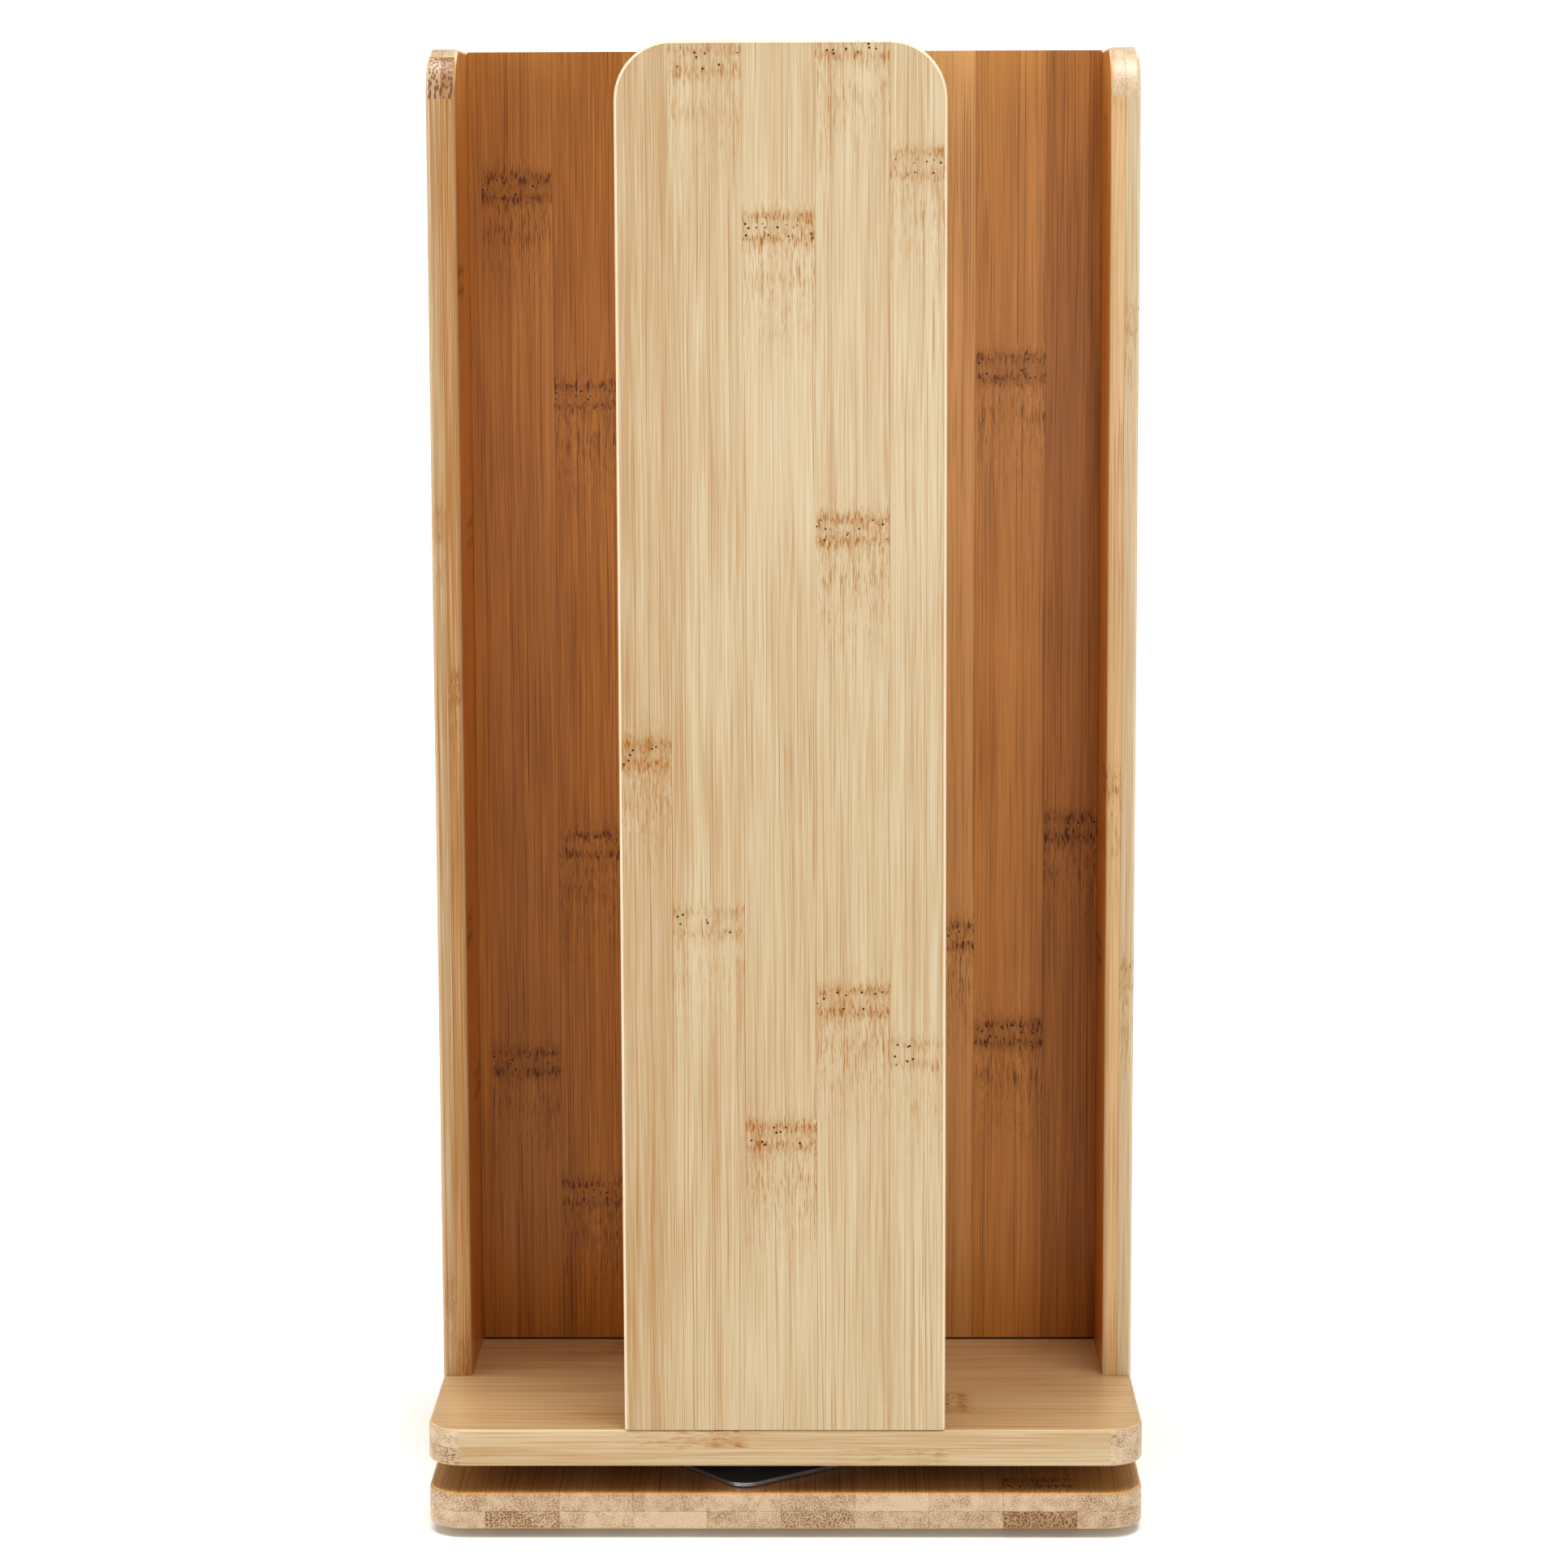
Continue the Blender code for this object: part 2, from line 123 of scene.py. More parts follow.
def setting_tree():
    """Geometry nodes that set a copy of a piece on every point, turned on its axis or stood on its head."""
    tree = bpy.data.node_groups.new("set_on_points", "GeometryNodeTree")
    sides = tree.interface
    sides.new_socket("Points", in_out="INPUT", socket_type="NodeSocketGeometry")
    sides.new_socket("Piece", in_out="INPUT", socket_type="NodeSocketObject")
    sides.new_socket("Finish", in_out="INPUT", socket_type="NodeSocketMaterial")
    sides.new_socket("Most Turn", in_out="INPUT", socket_type="NodeSocketFloat")
    sides.new_socket("Tip Over", in_out="INPUT", socket_type="NodeSocketFloat")
    sides.new_socket("Seed", in_out="INPUT", socket_type="NodeSocketInt")
    sides.new_socket("Result", in_out="OUTPUT", socket_type="NodeSocketGeometry")
    given = put(tree, "NodeGroupInput").node.outputs
    points = put(tree, "GeometryNodeMeshToPoints", {"Mesh": given["Points"]})
    shape = put(tree, "GeometryNodeObjectInfo", {"Object": given["Piece"]}).node.outputs["Geometry"]
    turn = put(tree, "FunctionNodeRandomValue", {3: given["Most Turn"], "Seed": given["Seed"]},
               data_type="FLOAT")
    turn = put(tree, "ShaderNodeCombineXYZ", {"X": given["Tip Over"], "Z": turn})
    copies = put(tree, "GeometryNodeInstanceOnPoints",
                 {"Points": points, "Instance": shape, "Rotation": turn})
    real = put(tree, "GeometryNodeRealizeInstances", {"Geometry": copies})
    done = put(tree, "GeometryNodeSetMaterial", {"Geometry": real, "Material": given["Finish"]})
    put(tree, "NodeGroupOutput", {"Result": done})
    return tree


SET_ON_POINTS = setting_tree()


def set_on_points(name, points, piece, finish, most_turn=0.0, tip_over=0.0, seed=1):
    """One plain mesh of copies of a piece at some points. The pattern piece is used up."""
    bm = bmesh.new()
    for point in points:
        bm.verts.new(point)
    whole = finish_piece(bm, name)
    piece.data.materials.append(finish)
    modifier = whole.modifiers.new("set_on_points", "NODES")
    modifier.node_group = SET_ON_POINTS
    values = {"Piece": piece, "Finish": finish, "Most Turn": most_turn, "Tip Over": tip_over, "Seed": seed}
    for item in SET_ON_POINTS.interface.items_tree:
        if item.name in values:
            modifier[item.identifier] = values[item.name]
    keep_result(whole)
    old = piece.data
    bpy.data.objects.remove(piece)
    bpy.data.meshes.remove(old)
    return whole


# Foamed rubber, die-cut from sheet: matt dark grey, with pores of about 0.3 mm whose hollows are painted
# darker as shade
rubber, tree = new_material("foamed_rubber")
place = put(tree, "ShaderNodeTexCoord").node.outputs["Object"]
pores = put(tree, "ShaderNodeTexVoronoi", {"Vector": place, "Scale": 1 / (0.45 * MM)})
pores = put(tree, "ShaderNodeMapRange", {0: pores, 1: 0.15, 2: 0.4})
dust = put(tree, "ShaderNodeTexNoise", {"Vector": place, "Scale": 1 / (4 * MM), "Detail": 3.0})
tint = put(tree, "ShaderNodeMix", {"Factor": dust, "A": linear("#2B2A29"), "B": linear("#45423F")},
           data_type="RGBA")
# Painted shade: the hollows of the pores are darkened towards near black
tint = put(tree, "ShaderNodeMix", {"Factor": pores, "A": linear("#1B1A1A"), "B": tint}, data_type="RGBA")
bump = put(tree, "ShaderNodeBump", {"Height": pores, "Strength": 0.5, "Distance": 0.05 * MM})
shader = put(tree, "ShaderNodeBsdfPrincipled", {"Base Color": tint, "Roughness": 0.85, "Normal": bump})
put(tree, "ShaderNodeOutputMaterial", {"Surface": shader})

pads = [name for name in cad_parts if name.endswith("_pad")]
low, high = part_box(pads[0])
pad_radius, pad_height = (high.x - low.x) / 2, high.z - low.z
edge = 0.5 * MM
pad_profile = [(0, 0), (pad_radius - edge, 0)]
pad_profile += [
    (pad_radius - edge + edge * math.sin(step * math.pi / 8), edge - edge * math.cos(step * math.pi / 8))
    for step in range(1, 5)
]
pad_profile += [(pad_radius, pad_height - 0.1 * MM), (pad_radius - 0.1 * MM, pad_height), (0, pad_height)]
pad = finish_piece(turned(pad_profile, 40), "pad")
centres = [(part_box(name)[0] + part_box(name)[1]) / 2 - Vector((0, 0, pad_height / 2)) for name in pads]
foot_pads = set_on_points("foot_pads", centres, pad, rubber)
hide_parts(*pads)
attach(foot_pads, "base")


# ---- Base board -------------------------------------------------------------------------------------
# A square board pressed from two plies of bamboo strips, both with their grain running front to back, so
# that its front edge shows end grain. Its corners are rounded, its arrises eased, and it is lacquered.
# A hole through it lets a screwdriver reach the upper bearing plate's screws.

BOARD_CORNER = 10 * MM
BOARD_EASE = 0.9 * MM
STRIP = 19.4 * MM  # usual width of a bamboo strip
ACCESS_HOLE = Vector((-51 * MM, 51 * MM, 0))
ACCESS_RADIUS = 5.5 * MM
NO_KNUCKLE = (9, 0)  # nine metres off, so it never shows
SIDE_STEAM_AND_BOUNCE_SHARE = 0.35  # share of the steamed colour that a board's sides keep; the broad faces keep all of it, and their stronger orange is painted bounce light from the bays
PLATE_SCREW_BORE = 1.8 * MM
SEAM_COUNT = 10


def outline(width, length, radii, steps=14):
    """Points round a rectangle from (-width/2, 0) to (width/2, length), each corner with its own radius."""
    points = []
    corners = ((-1, 0, 180), (1, 0, 270), (1, 1, 0), (-1, 1, 90))
    for (side, end, start), radius in zip(corners, radii):
        middle = Vector((side * (width / 2 - radius), end * length + (1 - 2 * end) * radius))
        for step in range(steps + 1 if radius else 1):
            angle = math.radians(start + 90 * step / steps)
            points.append(middle + radius * Vector((math.cos(angle), math.sin(angle))))
    return points


def random_ply(seed, width, length, tone, spread=0.12):
    """Strips across a ply: the place where each ends, its tone, and its knuckles' places and strengths."""
    chance = random.Random(seed)
    edge = -width / 2 + STRIP * chance.uniform(0.3, 1)
    strips = []
    while True:
        knuckles = [(chance.uniform(-0.12, 0.2), chance.uniform(0.4, 1))]
        while knuckles[-1][0] < length:
            knuckles.append((knuckles[-1][0] + chance.uniform(0.14, 0.24), chance.uniform(0.4, 1)))
        knuckles = [k for k in knuckles if k[0] > -10 * MM][:3]
        strips.append((edge, tone + chance.uniform(-spread, spread), knuckles, 1.0))
        if edge > width / 2:
            return strips
        edge += STRIP


def laid_ply(*strips):
    """Strips whose ends, tones and knuckles are given, in millimetres.

    A knuckle may have its strength, and a strip the share of the ply's steamed colour that it shows, which
    the divider uses to paint its lit strips paler.
    """
    whole = []
    for edge, tone, knuckles, *share in strips:
        pairs = [k if isinstance(k, tuple) else (k, 1.0) for k in knuckles]
        knuckles = [(place * MM, power) for place, power in pairs]
        whole.append((edge * MM, tone, knuckles, share[0] if share else 1.0))
    return whole


def take_out(piece, cutter_bm):
    """Cuts the shape in a bmesh out of a piece."""
    cutter = finish_piece(cutter_bm, "cutter")
    modifier = piece.modifiers.new("take_out", "BOOLEAN")
    modifier.operation = "DIFFERENCE"
    modifier.solver = "EXACT"
    modifier.object = cutter
    keep_result(piece)
    mesh = cutter.data
    bpy.data.objects.remove(cutter)
    bpy.data.meshes.remove(mesh)


def bores(nodes, profile, steps=24):
    """Round holes for CAD pins or screws: profile gives radius and place along each one's longest side.

    A place is measured from the pin's lowest end, in units of its length beyond 0 and 1 where it is a whole
    number, so the profile's first and last points reach past both ends.
    """
    whole = bmesh.new()
    for node in nodes:
        low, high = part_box(node)
        size = high - low
        longest = max(range(3), key=lambda i: size[i])
        axis = Vector([1.0 if i == longest else 0.0 for i in range(3)])
        start = (low + high) / 2 - axis * size[longest] / 2
        hole = turned([(radius, share * size[longest] + extra) for radius, share, extra in profile], steps)
        turn = UP.rotation_difference(axis).to_matrix().to_4x4()
        bmesh.ops.transform(hole, matrix=Matrix.Translation(start) @ turn, verts=hole.verts)
        mesh = bpy.data.meshes.new("hole")
        hole.to_mesh(mesh)
        hole.free()
        whole.from_mesh(mesh)
        bpy.data.meshes.remove(mesh)
    return whole


def straight(radius, play=0.2 * MM):
    return [(0, 0, -play), (radius, 0, -play), (radius, 1, play), (0, 1, play)]


def write_grain(bm, size, plies, caramel, side_shade, arris_highlight):
    """Writes the strips' attributes on a board that lies in its own axes: across, along, through."""
    grain = bm.loops.layers.float_vector.new("grain_place")
    seam = bm.loops.layers.float_vector.new("from_seams")
    look = bm.faces.layers.float_vector.new("strip_look")
    knuckle_places = bm.faces.layers.float_vector.new("knuckle_places")
    knuckle_strengths = bm.faces.layers.float_vector.new("knuckle_strengths")
    cut = bm.faces.layers.float.new("cuts_grain")
    broad = bm.faces.layers.float.new("broad_face")
    painted_highlight = bm.faces.layers.float.new("painted_arris_highlight")
    for face in bm.faces:
        middle = face.calc_center_median()
        upper = middle.z > size.z / 2
        ply = plies[1 if upper else 0]
        index = next((i for i, strip in enumerate(ply) if middle.x < strip[0]), len(ply) - 1)
        edge, tone, knuckles, share = ply[index]
        start = ply[index - 1][0] if index else -1
        number = (index * 7.31 + 3.7 * upper + 11.3 * size.x / MM) % 97
        # Sides get their side tone and keep only part of the steamed colour; the fuller orange left on
        # broad faces is painted bounce light
        if abs(face.normal.x) > 0.5:
            tone += side_shade[1 if upper else 0]
            share *= SIDE_STEAM_AND_BOUNCE_SHARE
        face[look] = Vector((tone, number, share * caramel[1 if upper else 0]))
        face[broad] = 1.0 if abs(face.normal.z) > 0.7 else 0.0
        face[cut] = 1.0 if abs(face.normal.y) > 0.12 and abs(face.normal.z) < 0.5 else 0.0
        # Painted highlight: the rounded faces of the arrises carry a share that lightens them towards near
        # white
        face[painted_highlight] = arris_highlight if 0.3 < abs(face.normal.z) < 0.93 else 0.0
        knuckles = (knuckles + [NO_KNUCKLE] * 3)[:3]
        face[knuckle_places] = Vector([place for place, _ in knuckles])
        face[knuckle_strengths] = Vector([strength for _, strength in knuckles])
        end = edge if index < len(ply) - 1 else 1
        for loop in face.loops:
            spot = loop.vert.co
            loop[grain] = spot
            loop[seam] = Vector((spot.x - start, end - spot.x, spot.z - size.z / 2))


def laminated_board(
    name, low, high, along, through, radii, ease, plies, caramel, material, sharp=None, cutters=(),
    side_shade=(0.0, 0.0), arris_highlight=0.0,
):
    """A board of two glued plies of bamboo strips, as one closed mesh that knows its strips.

    The grain runs along the vector along, and through points from the first ply to the second. Each corner
    of a face carries its place in the grain and its distance from the nearest seams. Each face carries its
    strip's tone and number, whether it cuts the grain, and where the strip's knuckles are.
    """
    across = along.cross(through)
    size = Vector([abs((high - low).dot(axis)) for axis in (across, along, through)])
    place = Matrix((across, along, through)).transposed().to_4x4()
    place.translation = (low + high) / 2 - along * size.y / 2 - through * size.z / 2

    bm = bmesh.new()
    face = bm.faces.new([bm.verts.new((p.x, p.y, 0)) for p in outline(size.x, size.y, radii)])
    raised = bmesh.ops.extrude_face_region(bm, geom=[face])["geom"]
    top = [v for v in raised if isinstance(v, bmesh.types.BMVert)]
    bmesh.ops.translate(bm, vec=(0, 0, size.z), verts=top)
    bmesh.ops.recalc_face_normals(bm, faces=bm.faces)
    arrises = [e for e in bm.edges if abs(e.verts[0].co.z - e.verts[1].co.z) < 0.1 * MM]
    if sharp:
        arrises = [e for e in arrises if not all(sharp(v.co, size) for v in e.verts)]
    bmesh.ops.bevel(bm, geom=arrises, offset=ease, segments=4, profile=0.5, affect="EDGES")
    bmesh.ops.transform(bm, matrix=place, verts=bm.verts)
    piece = finish_piece(bm, name)
    for cutter in cutters:
        take_out(piece, cutter)

    bm = bmesh.new()
    bm.from_mesh(piece.data)
    bmesh.ops.transform(bm, matrix=place.inverted(), verts=bm.verts)
    seams = sorted({round(edge, 5) for ply in plies for edge, *_ in ply if abs(edge) < size.x / 2})
    planes = [((edge, 0, 0), (1, 0, 0)) for edge in seams] + [((0, 0, size.z / 2), UP)]
    for point, normal in planes:
        geometry = [*bm.verts, *bm.edges, *bm.faces]
        bmesh.ops.bisect_plane(bm, geom=geometry, dist=1e-7, plane_co=point, plane_no=normal)
    write_grain(bm, size, plies, caramel, side_shade, arris_highlight)
    bmesh.ops.transform(bm, matrix=place, verts=bm.verts)
    bm.to_mesh(piece.data)
    bm.free()
    piece.data.shade_smooth()
    piece.data.set_sharp_from_angle(angle=math.radians(50))
    piece.modifiers.new("even_shading", "WEIGHTED_NORMAL").keep_sharp = True
    keep_result(piece)
    piece.data.materials.append(material)
    return piece


# Laminated bamboo, in its natural colour or steamed to caramel, sanded and sprayed with satin lacquer.
# Bundles of fibre 0.5 to 0.85 mm apart run the length of a strip: fine straight lines on a face, dots
# where they are cut across. At a knuckle they break up into dark teeth round a row of pin holes. Each
# pair of colours is natural bamboo, then steamed.
LINE_PITCH = 0.5 * MM
FINE_PITCH = 0.52 * MM
COARSE_PITCH = 0.85 * MM
PALE = ("#C9B899", "#E8AE60")
TAN = ("#A8804C", "#AC7228")
FIBRE = ("#A26A22", "#673A0A")
SILVER = ("#D3C8B2", "#D69648")
END_PALE = "#D2BEA3"
END_TAN = "#A07C5A"
END_DARK = "#74523A"

bamboo, tree = new_material("laminated_bamboo")
grain = put(tree, "ShaderNodeAttribute", attribute_name="grain_place").node.outputs["Vector"]
seams = put(tree, "ShaderNodeAttribute", attribute_name="from_seams").node.outputs["Vector"]
look = put(tree, "ShaderNodeAttribute", attribute_name="strip_look").node.outputs["Vector"]
places = put(tree, "ShaderNodeAttribute", attribute_name="knuckle_places").node.outputs["Vector"]
strengths = put(tree, "ShaderNodeAttribute", attribute_name="knuckle_strengths").node.outputs["Vector"]
cuts_grain = put(tree, "ShaderNodeAttribute", attribute_name="cuts_grain").node.outputs["Fac"]
broad_face = put(tree, "ShaderNodeAttribute", attribute_name="broad_face").node.outputs["Fac"]
painted_highlight = put(tree, "ShaderNodeAttribute", attribute_name="painted_arris_highlight").node.outputs["Fac"]
tone, number, caramel = put(tree, "ShaderNodeSeparateXYZ", {0: look}).node.outputs
along = put(tree, "ShaderNodeSeparateXYZ", {0: grain}).node.outputs["Y"]

# Every strip takes its own stretch of the pattern
shift = put(tree, "ShaderNodeVectorMath", {0: (0.731, 0.417, 0.193), "Scale": number}, operation="SCALE")
own = put(tree, "ShaderNodeVectorMath", {0: grain, 1: shift})

# The nearest of a strip's three knuckles: how far above it this point is, and how strong it is
spots = put(tree, "ShaderNodeSeparateXYZ", {0: places}).node.outputs
powers = put(tree, "ShaderNodeSeparateXYZ", {0: strengths}).node.outputs
above = put(tree, "ShaderNodeMath", {0: along, 1: spots[0]}, operation="SUBTRACT")
power = powers[0]
for other in (1, 2):
    rival = put(tree, "ShaderNodeMath", {0: along, 1: spots[other]}, operation="SUBTRACT")
    here = put(tree, "ShaderNodeMath", {0: above}, operation="ABSOLUTE")
    there = put(tree, "ShaderNodeMath", {0: rival}, operation="ABSOLUTE")
    nearer = put(tree, "ShaderNodeMath", {0: there, 1: here}, operation="LESS_THAN")
    above = put(tree, "ShaderNodeMix", {"Factor": nearer, "A": above, "B": rival})
    power = put(tree, "ShaderNodeMix", {"Factor": nearer, "A": power, "B": powers[other]})

# A knuckle's middle is a short band; its streaks fade over 12 mm above it and 45 mm below it
distance = put(tree, "ShaderNodeMath", {0: above}, operation="ABSOLUTE")
band = put(tree, "ShaderNodeMapRange", {0: distance, 1: 3 * MM, 2: 7 * MM, 3: 1.0, 4: 0.0},
           interpolation_type="SMOOTHSTEP")
rise = put(tree, "ShaderNodeMapRange", {0: above, 1: 0.0, 2: 13 * MM, 3: 1.0, 4: 0.0},
           interpolation_type="SMOOTHSTEP")
fall = put(tree, "ShaderNodeMapRange", {0: above, 1: -45 * MM, 2: -5 * MM, 3: 0.0, 4: 1.0},
           interpolation_type="SMOOTHSTEP")
tail = put(tree, "ShaderNodeMath", {0: rise, 1: fall}, operation="MULTIPLY")
tail = put(tree, "ShaderNodeMath", {0: tail, 1: power}, operation="MULTIPLY")
band = put(tree, "ShaderNodeMath", {0: band, 1: power}, operation="MULTIPLY")

# The fibres drift a little along a board, and tangle in a knuckle
stretch = put(tree, "ShaderNodeMapping", {"Vector": own, "Scale": (90, 12, 90)})
drift = put(tree, "ShaderNodeTexNoise", {"Vector": stretch, "Scale": 1.0, "Detail": 1.0})
drift = drift.node.outputs["Color"]
drift = put(tree, "ShaderNodeVectorMath", {0: drift, 1: (-0.5, -0.5, -0.5)})
drift = put(tree, "ShaderNodeVectorMath", {0: drift, 1: (1.2 * MM, 0, 1.2 * MM)}, operation="MULTIPLY")
stretch = put(tree, "ShaderNodeMapping", {"Vector": own, "Scale": (1100, 300, 1100)})
tangle = put(tree, "ShaderNodeTexNoise", {"Vector": stretch, "Scale": 1.0, "Detail": 1.0})
tangle = tangle.node.outputs["Color"]
teeth = put(tree, "ShaderNodeSeparateColor", {0: tangle}).node.outputs["Green"]
tangle = put(tree, "ShaderNodeVectorMath", {0: tangle, 1: (-0.5, -0.5, -0.5)})
reach = put(tree, "ShaderNodeMath", {0: tail, 1: 0.5 * MM}, operation="MULTIPLY")
reach = put(tree, "ShaderNodeMath", {0: band, 1: 0.7 * MM, 2: reach}, operation="MULTIPLY_ADD")
tangle = put(tree, "ShaderNodeVectorMath", {0: tangle, "Scale": reach}, operation="SCALE")
bent = put(tree, "ShaderNodeVectorMath", {0: own, 1: drift})
bent = put(tree, "ShaderNodeVectorMath", {0: bent, 1: tangle})
bent_x, _, bent_z = put(tree, "ShaderNodeSeparateXYZ", {0: bent}).node.outputs
section = put(tree, "ShaderNodeCombineXYZ", {"X": bent_x, "Y": bent_z})

# Bundles of fibre: cells in the board's cross-section, with a dense core
density = {0: tone, 1: 0.15, 2: 0.6, 3: 1 / FINE_PITCH, 4: 1 / COARSE_PITCH}
density = put(tree, "ShaderNodeMapRange", density)
density = put(tree, "ShaderNodeMix", {"Factor": cuts_grain, "A": 1 / LINE_PITCH, "B": density})
bundle = put(tree, "ShaderNodeTexVoronoi", {"Vector": section, "Scale": density, "Randomness": 0.8},
             voronoi_dimensions="2D")
rank = put(tree, "ShaderNodeSeparateColor", {0: bundle.node.outputs["Color"]}).node.outputs["Red"]
rank = put(tree, "ShaderNodeMapRange", {0: rank, 1: 0.2, 2: 1.0, 3: 0.15, 4: 1.0})
core = put(tree, "ShaderNodeMapRange", {0: bundle, 1: 0.12, 2: 0.34, 3: 1.0, 4: 0.0},
           interpolation_type="SMOOTHSTEP")
lines = put(tree, "ShaderNodeMath", {0: core, 1: rank}, operation="MULTIPLY")

# Streaks: fine ones of 0.3 mm, wide ones of 3 mm, and short dashes round a knuckle
stretch = put(tree, "ShaderNodeMapping", {"Vector": bent, "Scale": (3600, 30, 3600)})
fine = put(tree, "ShaderNodeTexNoise", {"Vector": stretch, "Scale": 1.0, "Detail": 1.0})
stretch = put(tree, "ShaderNodeMapping", {"Vector": bent, "Scale": (330, 5, 330)})
wide = put(tree, "ShaderNodeTexNoise", {"Vector": stretch, "Scale": 1.0, "Detail": 3.0})
stretch = put(tree, "ShaderNodeMapping", {"Vector": bent, "Scale": (2300, 190, 2300)})
dash = put(tree, "ShaderNodeTexNoise", {"Vector": stretch, "Scale": 1.0, "Detail": 1.0})
dash = put(tree, "ShaderNodeMapRange", {0: dash, 1: 0.5, 2: 0.64}, interpolation_type="SMOOTHSTEP")
stretch = put(tree, "ShaderNodeMapping", {"Vector": own, "Scale": (50, 16, 50)})
blotch = put(tree, "ShaderNodeTexNoise", {"Vector": stretch, "Scale": 1.0, "Detail": 1.0})

# Teeth: two jagged rows of broken dark fibre, 2.7 mm above and below the knuckle's middle, and a faint echo
jag = put(tree, "ShaderNodeMapRange", {0: teeth, 1: 0.25, 2: 0.75, 3: -1.6 * MM, 4: 1.6 * MM})
jagged = put(tree, "ShaderNodeMath", {0: above, 1: jag})
row = put(tree, "ShaderNodeMath", {0: jagged}, operation="ABSOLUTE")
row = put(tree, "ShaderNodeMath", {0: row, 1: -2.7 * MM})
row = put(tree, "ShaderNodeMath", {0: row}, operation="ABSOLUTE")
row = put(tree, "ShaderNodeMapRange", {0: row, 1: 0.2 * MM, 2: 1.5 * MM, 3: 1.0, 4: 0.0})
echo = put(tree, "ShaderNodeMath", {0: jagged, 1: 13 * MM})
echo = put(tree, "ShaderNodeMath", {0: echo}, operation="ABSOLUTE")
echo = put(tree, "ShaderNodeMapRange", {0: echo, 1: 0.5 * MM, 2: 4 * MM, 3: 0.22, 4: 0.0})
row = put(tree, "ShaderNodeMath", {0: row, 1: echo}, operation="MAXIMUM")
broken = put(tree, "ShaderNodeMapRange", {0: dash, 3: 0.25, 4: 1.0})
row = put(tree, "ShaderNodeMath", {0: row, 1: broken}, operation="MULTIPLY")
row = put(tree, "ShaderNodeMath", {0: row, 1: power}, operation="MULTIPLY")
on_side = put(tree, "ShaderNodeMapRange", {0: broad_face, 3: 0.45, 4: 1.0})
row = put(tree, "ShaderNodeMath", {0: row, 1: on_side}, operation="MULTIPLY")

# Ground colour: the strip's tone, with wide streaks and blotches, from pale to tan and natural to caramel
wide_share = put(tree, "ShaderNodeMapRange", {0: wide, 1: 0.3, 2: 0.7, 3: -0.16, 4: 0.2})
blotch = put(tree, "ShaderNodeMapRange", {0: blotch, 1: 0.3, 2: 0.7, 3: -0.1, 4: 0.1})
shade = put(tree, "ShaderNodeMath", {0: tone, 1: wide_share})
shade = put(tree, "ShaderNodeMath", {0: shade, 1: blotch})
shade = put(tree, "ShaderNodeMath", {0: band, 1: 0.22, 2: shade}, operation="MULTIPLY_ADD", use_clamp=True)
tones = []
for natural, steamed in (PALE, TAN, FIBRE, SILVER):
    tones.append(put(tree, "ShaderNodeMix", {"Factor": caramel, "A": linear(natural), "B": linear(steamed)},
                     data_type="RGBA"))
pale, tan, fibre, silver = tones
face = put(tree, "ShaderNodeMix", {"Factor": shade, "A": pale, "B": tan}, data_type="RGBA")
light = put(tree, "ShaderNodeMapRange", {0: fine, 1: 0.5, 2: 0.68, 3: 0.0, 4: 0.4})
face = put(tree, "ShaderNodeMix", {"Factor": light, "A": face, "B": silver}, data_type="RGBA")
dark = put(tree, "ShaderNodeMapRange", {0: fine, 1: 0.48, 2: 0.32, 3: 0.0, 4: 0.22})
dark = put(tree, "ShaderNodeMath", {0: lines, 1: 0.6, 2: dark}, operation="MULTIPLY_ADD")
dashes = put(tree, "ShaderNodeMath", {0: dash, 1: tail}, operation="MULTIPLY")
dark = put(tree, "ShaderNodeMath", {0: dashes, 1: 0.32, 2: dark}, operation="MULTIPLY_ADD")
dark = put(tree, "ShaderNodeMath", {0: row, 1: 0.85, 2: dark}, operation="MULTIPLY_ADD", use_clamp=True)
face = put(tree, "ShaderNodeMix", {"Factor": dark, "A": face, "B": fibre}, data_type="RGBA")

# End grain: a greyer ground with the bundles as dots
dots = put(tree, "ShaderNodeMapRange", {0: bundle, 1: 0.22, 2: 0.45, 3: 1.0, 4: 0.0},
           interpolation_type="SMOOTHSTEP")
depth = put(tree, "ShaderNodeMapRange", {0: shade, 1: 0.1, 2: 0.6, 3: 0.2, 4: 0.95})
dots = put(tree, "ShaderNodeMath", {0: dots, 1: depth}, operation="MULTIPLY")
end = put(tree, "ShaderNodeMix", {"Factor": shade, "A": linear(END_PALE), "B": linear(END_TAN)},
          data_type="RGBA")
end = put(tree, "ShaderNodeMix", {"Factor": dots, "A": end, "B": linear(END_DARK)}, data_type="RGBA")
wood = put(tree, "ShaderNodeMix", {"Factor": cuts_grain, "A": face, "B": end}, data_type="RGBA")
# Painted highlight: the arrises are lightened towards near white, for the highlight that lamps put on them
wood = put(tree, "ShaderNodeMix", {"Factor": painted_highlight, "A": wood, "B": linear("#F4E6D0")}, data_type="RGBA")

# Pin holes at a knuckle, and glue lines between strips and plies
pins = put(tree, "ShaderNodeTexVoronoi", {"Vector": own, "Scale": 1 / (1.9 * MM)})
pins = put(tree, "ShaderNodeMapRange", {0: pins, 1: 0.14, 2: 0.2, 3: 1.0, 4: 0.0})
near = put(tree, "ShaderNodeMapRange", {0: distance, 1: 2.6 * MM, 2: 3 * MM, 3: 1.0, 4: 0.0})
pins = put(tree, "ShaderNodeMath", {0: pins, 1: near}, operation="MULTIPLY")
pins = put(tree, "ShaderNodeMath", {0: pins, 1: broad_face}, operation="MULTIPLY")
wood = put(tree, "ShaderNodeMix", {"Factor": pins, "A": wood, "B": linear("#3E2413")}, data_type="RGBA")
left_gap, right_gap, ply_gap = put(tree, "ShaderNodeSeparateXYZ", {0: seams}).node.outputs
